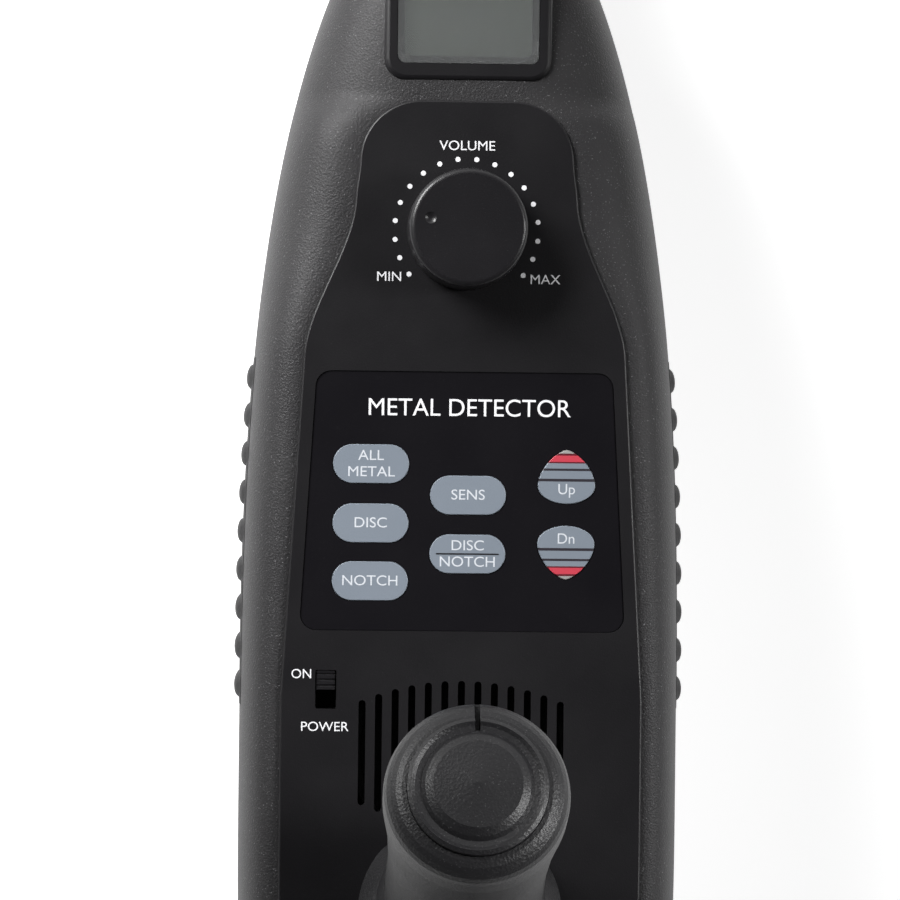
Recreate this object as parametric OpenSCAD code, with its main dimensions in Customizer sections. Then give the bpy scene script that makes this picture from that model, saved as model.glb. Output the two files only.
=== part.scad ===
// Metal detector: control head with joystick handle, telescopic shaft, search coil and arm support.
// Frame: +X to the user's right, +Y forward to the coil, +Z up. It lies at rest on the coil's
// underside and the four feet of the head. Modules are drawn in the head's own frame, with the
// volume knob's axis at Y 0, and stand() moves them so that the origin is under the middle.

/* [Control head] */
// Width over the widest part of the housing
head_w = 101.6; // [100.6:0.2:104]
// Height of the smooth control panel above the ground
panel_z = 72; // [72:0.5:74]
// Wall thickness of the two housing shells
wall = 2.5; // [2.2:0.1:2.6]

/* [Volume knob] */
// Diameter of the volume knob
knob_d = 27; // [24:0.5:30]
// Height of the volume knob
knob_h = 13.4; // [12.4:0.2:16]

/* [Keypad] */
// Length of an oval key
key_l = 17.2; // [15:0.1:18]
// Width of an oval key
key_w = 8.8; // [7.5:0.1:9.4]

/* [Speaker grille] */
// Pitch of the grille slots
slot_pitch = 3.74; // [3.5:0.02:3.8]
// Width of a grille slot
slot_w = 1.6; // [1.2:0.1:2]

/* [Handle] */
// Forward lean of the handle
handle_lean = 22.5; // [18:0.5:24]
// Radius of the handle at its domed top
handle_r = 18.9; // [18:0.1:20]

/* [Shaft] */
// Outer diameter of the fixed shaft tube
tube_d = 22; // [21.6:0.1:22]
// Distance from the volume knob's axis to the coil's pivot, shaft pushed in
pivot_y = 645; // [620:5:660]

/* [Search coil] */
// Radius of the search coil
coil_r = 112; // [106:1:118]

/* [Arm support] */
// Inner radius of the arm cup
cup_r = 46; // [42:1:48]
// Length of the arm cup
cup_l = 110; // [90:5:120]

/* [Hidden] */
$fn = 0;
$fa = 6;
$fs = 0.5;

// Heights of the housing
crown_z = panel_z - 1;
split_z = 44;
base_z = 4;
deck_in = crown_z - wall;

// Housing lengths along Y, in the head's frame
nose_y = 82;
rear_y = -235;
full_y = -106;
taper_y = -130;
nose_tip = 90;
shoulder_pow = 0.8;
n_stations = 26;
n_quarter = 7;

// Control panel outline
neck_w = 25.2;
waist_w = 36.6;
panel_rear_w = 41;
corner_r = 14;
panel_front = 29.5;
neck_ease = 0.9;
neck_ease_l = 8;
panel_rear = -228;

// Label overlay
label_front = -32;
label_rear = -90.5;
label_front_w = 67.2;
label_rear_w = 73.1;
label_corner = 3.5;
label_sink = 0.8;
label_t = 0.5;

// Keys: column positions across the panel
left_x = -21;
mid_x = 1;
right_x = 23.3;
key_h = 3.3;

// Handle
handle_y = -156;
handle_len = 104;

// Shaft
tube_r = tube_d / 2;
tube_in = 9.7;
tube_front = 400;
tube_rear = 30;
rod_r = 9.5;
rod_in = 8;
rod_rear = 150;
rod_front = pivot_y - 55;
run_fit = 0.05;

// Coil pivot
coil_z = 22;
ear_r = 9;
ear_in = 8;
ear_out = 13;
pin_r = 3;

// Arm support
stem_z = 57.5;
stem_r = 10;
stem_front = -195;
stem_rear = -450;
arm_y = -380;
cup_t = 3;
cup_z = 110 + cup_t + cup_r;

// Battery bay
door_hinge_z = 10.4;
door_hinge_y = -233.7;
door_top = 34.8;
door_w = 59.6;
battery_l = 48;
battery_w = 26.2;
battery_h = 17.4;

body_mid = (pivot_y + coil_r + stem_rear - 3) / 2;

module stand() {
    translate([0, -body_mid, 0]) children();
}

// ---- Curves of the housing ----

function smooth(t) = t <= 0 ? 0 : t >= 1 ? 1 : t * t * (3 - 2 * t);

// Half width of the housing at its parting line
function half_w(y) =
    y > full_y ? head_w / 2 * sqrt(1 - pow((y - full_y) / (nose_tip - full_y), 2.5))
    : y > taper_y ? head_w / 2
    : head_w / 2 * (1 - 0.25 * pow((taper_y - y) / (taper_y - rear_y), 3));

// Half width of the smooth panel: a neck round the knob that swells to the keypad
function panel_w(y) =
    y > panel_front - corner_r
        ? neck_w - neck_ease - corner_r
            + sqrt(pow(corner_r, 2) - pow(y - panel_front + corner_r, 2))
    : y > -30
        ? neck_w - neck_ease * (1 - smooth((panel_front - corner_r - y) / neck_ease_l))
            + (waist_w - neck_w) * smooth((8 - y) / 38)
    : y > full_y ? waist_w + (panel_rear_w - waist_w) * (-30 - y) / (-30 - full_y)
    : y > taper_y ? panel_rear_w
    : panel_rear_w * (1 - 0.25 * pow((taper_y - y) / (taper_y - rear_y), 3));

function crown_w(y) = y > panel_front ? min(10, half_w(y) / 2) : panel_w(y);

function top_z(y) =
    y > 26 ? split_z + (crown_z - split_z) * (1 - 0.3 * pow((y - 26) / (nose_y - 26), 2.5))
    : crown_z;

function bottom_z(y) = y > 10 ? base_z + 8 * pow((y - 10) / (nose_y - 10), 2.5) : base_z;

// One cross-section from the parting line over the crown, or under the base, and back
function quarter(flat, w, y, z_end) = [
    for (k = [0 : n_quarter]) let (a = 90 * k / n_quarter) [
        flat + (w - flat) * pow(cos(a), shoulder_pow),
        y,
        split_z + (z_end - split_z) * pow(sin(a), shoulder_pow)
    ]
];
function mirrored(p) = [for (i = [len(p) - 1 : -1 : 0]) [-p[i].x, p[i].y, p[i].z]];
function reversed(p) = [for (i = [len(p) - 1 : -1 : 0]) p[i]];
function skirt(w, y, drop) = drop == 0 ? [] : [[w, y, split_z + drop]];

function ring(y, flat, w, z_end, drop) =
    let (half = concat(skirt(w, y, drop), quarter(flat, w, y, z_end)))
    concat(half, mirrored(half));

function station(i, first, last) = first + (last - first) * (1 - pow(1 - i / n_stations, 1.3));

module loft(rings) {
    n = len(rings[0]);
    last = (len(rings) - 1) * n;
    sides = [
        for (i = [0 : len(rings) - 2], j = [0 : n - 1])
            let (a = i * n + j, b = i * n + (j + 1) % n)
            each [[a, b, b + n], [a, b + n, a + n]]
    ];
    first_cap = [[for (j = [n - 1 : -1 : 0]) j]];
    last_cap = [[for (j = [0 : n - 1]) last + j]];
    polyhedron([for (r = rings) each r], concat(sides, first_cap, last_cap));
}

module upper_form(inset, first, last, drop) {
    loft([
        for (i = [0 : n_stations]) let (y = station(i, first, last))
            ring(y, crown_w(y) - inset * 0.4, half_w(y) - inset, top_z(y) - inset, drop)
    ]);
}

module lower_form(inset, first, last, drop) {
    loft([
        for (i = [0 : n_stations]) let (y = station(i, first, last)) reversed(
            ring(y, half_w(y) - 14 - inset * 0.4, half_w(y) - inset, bottom_z(y) + inset, drop)
        )
    ]);
}

// ---- Shared shapes ----

module along_y(y0, y1, r, z = split_z, x = 0) {
    translate([x, y0, z]) rotate([-90, 0, 0]) cylinder(r = r, h = y1 - y0);
}

module along_x(x0, x1, r, y, z) {
    translate([x0, y, z]) rotate([0, 90, 0]) cylinder(r = r, h = x1 - x0);
}

module box(x0, x1, y0, y1, z0, z1) {
    translate([x0, y0, z0]) cube([x1 - x0, y1 - y0, z1 - z0]);
}

module oval(l, w) {
    square([l - w, w], center = true);
    for (s = [-1, 1]) translate([s * (l - w) / 2, 0]) circle(w / 2);
}

// Rounded plate with its long axis on X
module round_plate(l, w, r) {
    square([l - 2 * r, w], center = true);
    square([l, w - 2 * r], center = true);
    for (sx = [-1, 1], sy = [-1, 1])
        translate([sx * (l / 2 - r), sy * (w / 2 - r)]) circle(r);
}

// Egg-shaped arrow key: a pointed oval forward of its widest line and a flat oval behind it
egg_w = 6.5;
egg_nose = 8.1;
egg_tail = 4.05;
egg_mid = -2.05;

function egg_half(side, first, last, grow) = [
    for (i = [first : (last > first ? 1 : -1) : last]) let (t = i / 12) [
        side * (egg_w * (i >= 0 ? pow(1 - pow(t, 1.75), 0.68) : sqrt(1 - t * t)) + grow),
        egg_mid + t * ((i >= 0 ? egg_nose : egg_tail) + grow)
    ]
];

module egg(grow = 0) {
    polygon(concat(egg_half(1, -12, 12, grow), egg_half(-1, 12, -12, grow)));
}

module panel_outline() {
    right = [for (y = [panel_rear : 4 : 14]) [panel_w(y), y]];
    front = [for (a = [0 : 10 : 90]) [
        neck_w - neck_ease - corner_r + corner_r * cos(a),
        panel_front - corner_r + corner_r * sin(a)
    ]];
    edge = concat(right, front);
    polygon(concat(edge, [for (i = [len(edge) - 1 : -1 : 0]) [-edge[i].x, edge[i].y]]));
}

module label_outline(grow = 0) {
    hull() {
        for (s = [-1, 1]) {
            translate([s * (label_front_w / 2 - label_corner), label_front - label_corner])
                circle(label_corner + grow, $fn = 32);
            translate([s * (label_rear_w / 2 - label_corner), label_rear + label_corner])
                circle(label_corner + grow, $fn = 32);
        }
    }
}

OVAL_KEYS = [[left_x, -52.9], [left_x, -66.3], [left_x, -79.4], [mid_x, -59.8], [mid_x, -73.1]];
up_at = [right_x, -55.4];
down_at = [right_x, -72.6];

module key_holes(grow) {
    for (p = OVAL_KEYS) translate(p) oval(key_l + 2 * grow, key_w + 2 * grow);
    translate(up_at) egg(grow);
    translate(down_at) mirror([0, 1]) egg(grow);
}

// Speaker slots: their ends lie on shallow arcs before and behind
module grille() {
    for (i = [-6 : 6]) {
        x = i * slot_pitch;
        y_front = -159.5 + sqrt(pow(57.7, 2) - x * x);
        y_back = -77 - sqrt(pow(57.7, 2) - x * x);
        translate([x, (y_front + y_back) / 2])
            rotate(90) oval(y_front - y_back, slot_w);
    }
}

switch_x = -30.7;
switch_y = -104;
slot_long = 8.8;
slider_long = 4.3;

screw_spots = [[33, 5], [-33, 5], [33, -195], [-33, -195]];
shaft_bolt_y = 72;
jack_y = -172;
jack_z = 30;
connector_z = 21;
display_y = 49;
grip_first = -33;
grip_pitch = 8.94;
grip_low = 30;
grip_high = 56;
rib_r = 2.8;
rib_out = 1.2;

// ---- Housing ----

grip_sink = 1.3;

// Band that follows the housing's side, from y_rear to y_front
module side_band(y_rear, y_front, depth, proud) {
    ys = [for (i = [0 : 16]) y_rear + (y_front - y_rear) * i / 16];
    linear_extrude(grip_high - grip_low) polygon(concat(
        [for (y = ys) [half_w(y) + proud, y]],
        [for (i = [16 : -1 : 0]) [half_w(ys[i]) - depth, ys[i]]]
    ));
}

module side_grip() {
    translate([0, 0, grip_low]) side_band(-108.7, -28.7, grip_sink, 0.1);
    for (i = [0 : 8]) {
        y = grip_first - i * grip_pitch;
        intersection() {
            translate([half_w(y) + rib_out - rib_r, y, grip_low + 1])
                cylinder(r = rib_r, h = grip_high - grip_low - 2);
            translate([half_w(y) - 0.6, y - 5, 0]) cube([5, 10, 100]);
        }
    }
}

module shell_cut_sides() {
    for (s = [0, 1]) mirror([s, 0, 0]) translate([0, 0, grip_low])
        side_band(-108.8, -28.6, grip_sink + 0.06, 4);
}

module upper_shell() {
    color("#2b2a2e") stand() difference() {
        union() {
            difference() {
                upper_form(0, rear_y, nose_y, 0);
                upper_form(wall, rear_y + 4, nose_y - wall, -1);
            }
            translate([0, 0, deck_in - 0.01])
                linear_extrude(panel_z - deck_in + 0.01) panel_outline();
            translate([0, display_y, deck_in - 8])
                linear_extrude(panel_z - 0.5 - deck_in + 8) round_plate(38, 30, 5);
            for (p = screw_spots)
                translate([p.x, p.y, split_z]) cylinder(r = 4, h = deck_in - split_z + 0.5);
            translate([0, shaft_bolt_y, split_z]) cylinder(r = 5, h = 20);
            intersection() {
                along_y(nose_y - 8, 100, 15);
                box(-20, 20, 60, 110, split_z, split_z + 20);
            }
            along_y(-247, -200, 13, stem_z);
        }
        along_y(tube_rear - 4, 110, tube_r + 0.02);
        along_y(-260, stem_front + 0.02, stem_r + 0.02, stem_z);
        translate([0, 0, panel_z - label_sink]) linear_extrude(2) label_outline(0.15);
        translate([0, 0, deck_in - 1]) linear_extrude(5) key_holes(0.25);
        translate([0, 0, deck_in - 1]) cylinder(r = 3.6, h = 8);
        translate([0, 0, deck_in - 1]) linear_extrude(6) grille();
        translate([switch_x, switch_y, deck_in - 1]) linear_extrude(6)
            square([4.75, slot_long], center = true);
        translate([0, display_y, panel_z - 1.7]) linear_extrude(3) round_plate(32.3, 22.3, 2);
        translate([0, display_y, panel_z - 8]) linear_extrude(9) round_plate(29, 19, 1.5);
        box(-17, 17, display_y - 13, display_y + 13, 50, panel_z - 3);
        for (p = screw_spots) translate([p.x, p.y, split_z - 1]) cylinder(r = 1.52, h = 17);
        translate([0, shaft_bolt_y, split_z - 1]) cylinder(r = 2.02, h = 17.5);
        for (s = [-1, 1]) translate([s * 8, handle_y, deck_in - 1]) cylinder(r = 2.55, h = 6);
        shell_cut_sides();
    }
}

module lower_shell() {
    color("#29282b") stand() difference() {
        union() {
            difference() {
                lower_form(0, rear_y, nose_y, 0);
                lower_form(wall, rear_y + 4, nose_y - wall, 1);
            }
            for (p = screw_spots)
                translate([p.x, p.y, base_z + 1]) cylinder(r = 4, h = split_z - base_z - 1);
            translate([0, shaft_bolt_y, bottom_z(shaft_bolt_y) + 0.5])
                cylinder(r = 5, h = split_z - bottom_z(shaft_bolt_y) - 0.5);
            intersection() {
                along_y(nose_y - 8, 100, 15);
                box(-20, 20, 60, 110, split_z - 20, split_z);
            }
        }
        along_y(tube_rear - 4, 110, tube_r + 0.02);
        for (p = screw_spots) {
            translate([p.x, p.y, base_z - 1]) cylinder(r = 1.7, h = 50);
            translate([p.x, p.y, base_z - 1]) cylinder(r = 3.2, h = 5);
        }
        translate([0, shaft_bolt_y, 5]) cylinder(r = 2.1, h = 50);
        translate([0, shaft_bolt_y, 5]) cylinder(r = 3.7, h = 9);
        for (sx = [-1, 1], y = [-22, -178])
            translate([sx * 27, y, base_z - 1]) cylinder(r = 6.02, h = 2.2);
        along_y(nose_y - 6, nose_y + 1, 6.02, connector_z);
        along_x(-60, -40, 4.05, jack_y, jack_z);
        along_x(-47.6, -30, 6.2, jack_y, jack_z);
        along_x(-60, -49.2, 6.4, jack_y, jack_z);
        box(-30, 30, rear_y - 1, rear_y + 2.4, door_hinge_z - 1.3, door_top + 0.2);
        box(-28.2, 28.2, rear_y - 1, rear_y + 5, 11.6, 33.4);
        along_x(-31.6, 31.6, 1.15, door_hinge_y, door_hinge_z);
        shell_cut_sides();
    }
}

module side_grip_left() {
    color("#232226") stand() mirror([1, 0, 0]) side_grip();
}

module side_grip_right() {
    color("#232226") stand() side_grip();
}

module shell_screws() {
    color("#8f8f94") stand() for (p = screw_spots) translate([p.x, p.y, 0]) difference() {
        union() {
            translate([0, 0, base_z + 1]) cylinder(r = 3, h = 3);
            translate([0, 0, base_z + 3.9]) cylinder(r = 1.5, h = split_z + 15 - base_z - 3.9);
        }
        translate([-2.2, -0.4, base_z + 0.9]) cube([4.4, 0.8, 1.2]);
        translate([-0.4, -2.2, base_z + 0.9]) cube([0.8, 4.4, 1.2]);
    }
}

module shaft_bolt() {
    color("#8f8f94") stand() translate([0, shaft_bolt_y, 0]) difference() {
        union() {
            translate([0, 0, 10.8]) cylinder(r = 3.5, h = 3.2);
            translate([0, 0, 13.9]) cylinder(r = 2, h = 46);
        }
        translate([0, 0, 10.7]) cylinder(r = 2, h = 1.9, $fn = 6);
    }
}

module feet() {
    color("#1c1c1e") stand() for (sx = [-1, 1], y = [-22, -178])
        translate([sx * 27, y, 0]) rotate_extrude()
            polygon([[0, 0], [5.2, 0], [6, 0.8], [6, base_z + 1.2], [0, base_z + 1.2]]);
}

module battery_door() {
    color("#29282b") stand() difference() {
        union() {
            box(-door_w / 2, door_w / 2, door_hinge_y - 1.1, door_hinge_y + 1.1,
                door_hinge_z, door_top);
            along_x(-door_w / 2, door_w / 2, 1.1, door_hinge_y, door_hinge_z);
            along_x(-31.4, 31.4, 1.08, door_hinge_y, door_hinge_z);
        }
        along_x(-8, 8, 0.8, door_hinge_y - 1.1, door_top - 5);
    }
}

module battery_tray() {
    color("#3a3a3d") stand() {
        difference() {
            box(-28, 28, -230.8, -172, 11.4, 33.2);
            box(-26.8, 26.8, -231, -173.5, 12.6, 32);
        }
        for (s = [-1, 1]) box(s * 18 - 1.5, s * 18 + 1.5, -228, -176, base_z + wall + 0.05, 11.4);
    }
}

module batteries() {
    color("#4a4f5c") stand() for (s = [-1, 1])
        translate([s * 13.3, -204.5, 12.7]) translate([0, 0, battery_h / 2]) rotate([90, 0, 0])
            linear_extrude(battery_l, center = true) round_plate(battery_w, battery_h - 0.1, 2);
}

module battery_contacts() {
    color("#b5b5b0") stand() for (x = [-19.6, -7, 7, 19.6])
        along_y(-180.3, -173.6, 3, 21.4, x);
}

// ---- Panel, keys and electronics ----

module label_overlay() {
    color("#161519") stand() translate([0, 0, panel_z - label_sink])
        linear_extrude(label_t) difference() {
            label_outline();
            key_holes(0.12);
        }
}

module oval_key(at) {
    color("#858996") stand() translate([at.x, at.y, panel_z - key_h])
        linear_extrude(key_h - 0.05) oval(key_l, key_w);
}

module key_all_metal() { oval_key(OVAL_KEYS[0]); }
module key_disc() { oval_key(OVAL_KEYS[1]); }
module key_notch() { oval_key(OVAL_KEYS[2]); }
module key_sens() { oval_key(OVAL_KEYS[3]); }
module key_disc_notch() { oval_key(OVAL_KEYS[4]); }

module key_up() {
    color("#858996") stand() translate([up_at.x, up_at.y, panel_z - key_h])
        linear_extrude(key_h - 0.05) egg();
}

module key_down() {
    color("#858996") stand() translate([down_at.x, down_at.y, panel_z - key_h])
        linear_extrude(key_h - 0.05) mirror([0, 1]) egg();
}

module dome_sheet() {
    color("#c9c9c2") stand() translate([0, 0, panel_z - 4.6]) {
        box(-34, 34, -89, -34, 0, 0.3);
        for (p = concat(OVAL_KEYS, [up_at, down_at]))
            translate([p.x, p.y, 0.2]) cylinder(r1 = 3.4, r2 = 2, h = 0.6);
    }
}

module key_board() {
    color("#1f5a35") stand() box(-35, 35, -90, -33, panel_z - 6.3, panel_z - 4.7);
}

module volume_knob() {
    r = knob_d / 2;
    fillet = 1.3;
    color("#1e1d20") stand() translate([0, 0, panel_z + 0.4]) difference() {
        rotate_extrude() polygon(concat(
            [[0, 0], [r - 0.2, 0], [r, 0.4]],
            [for (a = [0 : 15 : 90])
                [r - fillet + fillet * cos(a), knob_h - fillet + fillet * sin(a)]],
            [[0, knob_h]]
        ));
        translate([0, 0, -1]) cylinder(r = 8.5, h = 5.4);
        translate([0, 0, -1]) cylinder(r = 3.02, h = 11.8);
        translate([-0.63 * r, 0.15 * r, knob_h + 0.8]) sphere(1.6);
    }
}

module pot_shaft() {
    color("#b9b9bb") stand() translate([0, 0, panel_z - 12]) cylinder(r = 3, h = 22.8);
}

module pot_body() {
    color("#6f7276") stand() translate([0, 0, panel_z - 14.5]) difference() {
        union() {
            cylinder(r = 8.3, h = 10.9);
            cylinder(r = 3.5, h = 17.6);
        }
        translate([0, 0, 2.4]) cylinder(r = 3 + run_fit, h = 20);
    }
}

module pot_nut() {
    color("#a8a8aa") stand() translate([0, 0, panel_z]) difference() {
        cylinder(r = 5.6, h = 2.4, $fn = 6);
        translate([0, 0, -1]) cylinder(r = 3.52, h = 5);
    }
}

module power_slider() {
    travel_end = (slot_long - slider_long) / 2 - 0.15;
    color("#1b1a1d") stand() translate([switch_x, switch_y + travel_end, 0]) difference() {
        box(-2.1, 2.1, -slider_long / 2, slider_long / 2, panel_z - 7, panel_z - 0.3);
        for (i = [-1 : 1])
            along_x(-3, 3, 0.35, i * 1.3, panel_z - 0.3);
    }
}

module switch_body() {
    color("#77797c") stand() difference() {
        translate([switch_x, switch_y, 0]) box(-4, 4, -8, 8, panel_z - 10.5, panel_z - 4);
        translate([switch_x, switch_y, 0]) box(-2.3, 2.3, -4.6, 4.6, panel_z - 7.5, panel_z);
    }
}

module display_lens() {
    color("#3a4247") stand() translate([0, display_y, panel_z - 1.7])
        linear_extrude(1.1) round_plate(32, 22, 1.9);
}

module display_module() {
    color("#8f9a86") stand() translate([0, display_y, 0])
        box(-16.5, 16.5, -12.5, 12.5, panel_z - 7, panel_z - 3.1);
}

module main_board() {
    color("#1f5a35") stand() box(-27, 27, -92, 26, panel_z - 16.6, panel_z - 15);
}

speaker_y = -118;

module speaker_frame() {
    color("#3c3d40") stand() translate([0, speaker_y, deck_in - 5]) difference() {
        cylinder(r = 25, h = 4.9);
        translate([0, 0, 1.2]) cylinder(r = 22.8, h = 6);
        translate([0, 0, -1]) cylinder(r = 10.4, h = 6);
    }
}

module speaker_cone() {
    color("#19191b") stand() translate([0, speaker_y, deck_in - 3.7]) rotate_extrude()
        polygon([[0, 0.4], [8, 0], [22.6, 2.2], [22.6, 2.8], [8, 0.7], [0, 1.1]]);
}

module speaker_magnet() {
    color("#8a8b8e") stand() translate([0, speaker_y, deck_in - 15]) {
        cylinder(r = 15, h = 9.9);
        cylinder(r = 10.2, h = 11);
    }
}

module headphone_jack() {
    color("#a8a8aa") stand() difference() {
        union() {
            along_x(-51.6, -36, 4, jack_y, jack_z);
            along_x(-47.55, -35.5, 5.5, jack_y, jack_z);
        }
        along_x(-53, -37, 1.8, jack_y, jack_z);
    }
}

module jack_nut() {
    color("#a8a8aa") stand() difference() {
        along_x(-51, -49.25, 5.6, jack_y, jack_z);
        along_x(-54, -49, 4.02, jack_y, jack_z);
    }
}

module coil_connector() {
    color("#9a9a9d") stand() difference() {
        union() {
            along_y(77.6, 96, 6, connector_z);
            along_y(nose_y, nose_y + 2, 7, connector_z);
        }
        along_y(86, 97, 5, connector_z);
        for (a = [0 : 72 : 288])
            along_y(80, 97, 0.7, connector_z + 2.8 * cos(a), 2.8 * sin(a));
    }
}

// ---- Handle ----

module handle_frame() {
    translate([0, handle_y, panel_z]) rotate([-handle_lean, 0, 0]) children();
}

module handle_solid() {
    r = handle_r;
    top = handle_len;
    rotate_extrude() polygon(concat(
        [[0, -20], [23, -20], [23, 6], [19, 12], [17.4, 26], [17, 52], [17.6, 74], [r, 92]],
        [for (a = [0 : 15 : 75]) [r - 5 + 5 * cos(a), top - 7 + 5 * sin(a)]],
        [[r - 4.6, top - 2], [r - 4.6, top - 3.4], [0, top - 3.4]]
    ));
}

// Notch at the front of the top, where the two halves meet
module seam_notch() {
    translate([-0.55, handle_r - 7.3, handle_len - 6]) cube([1.1, 12, 12]);
}

module handle_half() {
    intersection() {
        difference() {
            handle_frame() difference() {
                handle_solid();
                translate([0, 0, 22]) cylinder(r = 13.6, h = handle_len - 22 - 7);
                seam_notch();
                for (z = [30, 78]) {
                    translate([-40, 0, z]) rotate([0, 90, 0]) cylinder(r = 1.55, h = 80);
                }
            }
            for (s = [-1, 1])
                translate([s * 8, handle_y, panel_z - 1]) cylinder(r = 2.5, h = 15);
        }
        box(0, 60, handle_y - 60, handle_y + 100, panel_z, panel_z + 200);
    }
}

module handle_left() {
    color("#201f22") stand() mirror([1, 0, 0]) handle_half();
}

module handle_right() {
    color("#201f22") stand() difference() {
        handle_half();
        handle_frame() for (z = [30, 78]) {
            translate([14.4, 0, z]) rotate([0, 90, 0]) cylinder(r = 2.7, h = 20);
        }
    }
}

module handle_cap() {
    r = handle_r - 4.7;
    color("#1a191c") stand() handle_frame() difference() {
        translate([0, 0, handle_len - 3.35]) rotate_extrude() polygon([
            [0, 0], [r, 0], [r, 2.6], [r - 0.8, 3.1], [r - 1.6, 2.6], [r - 2.8, 2.4],
            [r - 3.6, 3.2], [r - 5.2, 4.2], [0, 5]
        ]);
        seam_notch();
    }
}

module handle_screws() {
    color("#8f8f94") stand() handle_frame() for (z = [30, 78]) {
        translate([-15, 0, z]) rotate([0, 90, 0]) cylinder(r = 1.5, h = 30);
        translate([14.5, 0, z]) rotate([0, 90, 0]) difference() {
            cylinder(r = 2.6, h = 2);
            translate([-0.4, -1.9, 1]) cube([0.8, 3.8, 1.2]);
        }
    }
}

module handle_bolts() {
    color("#8f8f94") stand() for (s = [-1, 1]) translate([s * 8, handle_y, 0]) {
        translate([0, 0, deck_in - 3.5]) cylinder(r = 4.2, h = 3.5, $fn = 6);
        translate([0, 0, deck_in - 0.1]) cylinder(r = 2.45, h = 17);
    }
}

// ---- Shaft ----

module upper_shaft() {
    color("#1d1d20") stand() difference() {
        along_y(tube_rear, tube_front, tube_r);
        along_y(tube_rear - 1, tube_front + 1, tube_in);
        translate([0, shaft_bolt_y, split_z - 20]) cylinder(r = 2.05, h = 40);
    }
}

module lock_bush() {
    color("#d8d8d4") stand() difference() {
        along_y(tube_front + 0.5, tube_front + 17, 12.9);
        along_y(tube_front, tube_front + 18, rod_r + run_fit);
        translate([-0.5, tube_front - 1, split_z + 5]) cube([1, 20, 10]);
    }
}

module lock_collar() {
    color("#1b1b1d") stand() difference() {
        along_y(tube_front - 22, tube_front + 22, 16.5);
        along_y(tube_front - 23, tube_front + 0.3, tube_r + run_fit);
        along_y(tube_front + 0.2, tube_front + 17.5, 12.98);
        along_y(tube_front + 17, tube_front + 23, rod_r + 0.3);
        for (a = [0 : 30 : 330])
            translate([0, 0, split_z]) rotate([0, a, 0])
                along_y(tube_front - 16, tube_front + 16, 1.5, 17);
    }
}

module lower_shaft() {
    color("#26262a") stand() difference() {
        along_y(rod_rear, rod_front, rod_r);
        along_y(rod_rear - 1, rod_front + 1, rod_in);
    }
}

module shaft_yoke() {
    color("#1b1b1d") stand() difference() {
        union() {
            along_y(rod_front - 35, rod_front + 1, rod_in - 0.02);
            along_y(rod_front, rod_front + 8, rod_r);
            box(-6, 6, rod_front + 6, pivot_y, split_z - 8.5, split_z + 8.5);
            along_x(-6, 6, 8.5, pivot_y, split_z);
        }
        along_x(-7, 7, pin_r + run_fit, pivot_y, split_z);
    }
}

// ---- Search coil ----

module coil_washers() {
    color("#101011") stand() for (s = [-1, 1]) difference() {
        along_x(min(s * 6.05, s * 7.95), max(s * 6.05, s * 7.95), 8.5, pivot_y, split_z);
        along_x(-9, 9, pin_r + run_fit, pivot_y, split_z);
    }
}

module coil_bolt() {
    color("#26262a") stand() difference() {
        union() {
            along_x(-ear_out - 4, -ear_out, 6.5, pivot_y, split_z);
            along_x(-ear_out - 0.1, 25, pin_r, pivot_y, split_z);
        }
        along_x(-ear_out - 5, -ear_out - 2, 2.6, pivot_y, split_z);
    }
}

module coil_nut() {
    color("#1b1b1d") stand() difference() {
        union() {
            along_x(ear_out + 0.05, ear_out + 9, 8, pivot_y, split_z);
            for (a = [0 : 60 : 300])
                along_x(ear_out + 2, ear_out + 9, 2, pivot_y + 8 * cos(a), split_z + 8 * sin(a));
        }
        along_x(ear_out - 1, ear_out + 10, pin_r + run_fit, pivot_y, split_z);
    }
}

module coil_top() {
    r = coil_r;
    color("#222225") stand() translate([0, pivot_y, 0]) difference() {
        union() {
            rotate_extrude() polygon([
                [0, 6], [r, 6], [r, 12], [r - 1, 16], [r - 4, 19.5], [r - 9, coil_z],
                [r - 19, coil_z], [r - 24, 19], [r - 27, 14], [30, 14], [26, 18], [0, 18]
            ]);
            for (s = [-1, 1]) {
                x0 = s > 0 ? ear_in : -ear_out;
                box(x0, x0 + ear_out - ear_in, -ear_r, ear_r, 12, split_z);
                along_x(x0, x0 + ear_out - ear_in, ear_r, 0, split_z);
            }
        }
        rotate_extrude() polygon([
            [r - 24, 5], [r - 3.4, 5], [r - 3.4, 15], [r - 10, 19], [r - 18, 19], [r - 24, 14]
        ]);
        rotate_extrude() polygon([[34, 5], [r - 32, 5], [r - 32, 11.4], [34, 11.4]]);
        along_x(-20, 20, pin_r + 0.02, 0, split_z);
        translate([26, -24, 9]) cylinder(r = 4.02, h = 20);
    }
}

module coil_cover() {
    r = coil_r;
    color("#1a1a1c") stand() translate([0, pivot_y, 0]) rotate_extrude() polygon([
        [0, 0], [r - 5, 0], [r - 1, 1.5], [r, 4], [r, 5.98], [0, 5.98]
    ]);
}

module transmit_winding() {
    color("#a4572a") stand() translate([0, pivot_y, 11]) rotate_extrude()
        translate([coil_r - 13.5, 0]) circle(4.5);
}

module receive_winding() {
    color("#a4572a") stand() translate([0, pivot_y, 8.6]) rotate_extrude()
        translate([52, 0]) circle(2.4);
}

module coil_gland() {
    color("#1b1b1d") stand() translate([26, pivot_y - 24, 10]) difference() {
        union() {
            cylinder(r = 4, h = 5);
            translate([0, 0, 4.02]) cylinder(r = 6, h = 5, $fn = 6);
            translate([0, 0, 9]) cylinder(r1 = 4.8, r2 = 3.8, h = 8);
        }
        translate([0, 0, -1]) cylinder(r = 2.2, h = 20);
    }
}

// ---- Arm support ----

module rear_stem() {
    color("#1d1d20") stand() difference() {
        along_y(stem_rear, stem_front, stem_r, stem_z);
        along_y(stem_rear - 1, stem_front + 1, stem_r - 1.4, stem_z);
    }
}

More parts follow.
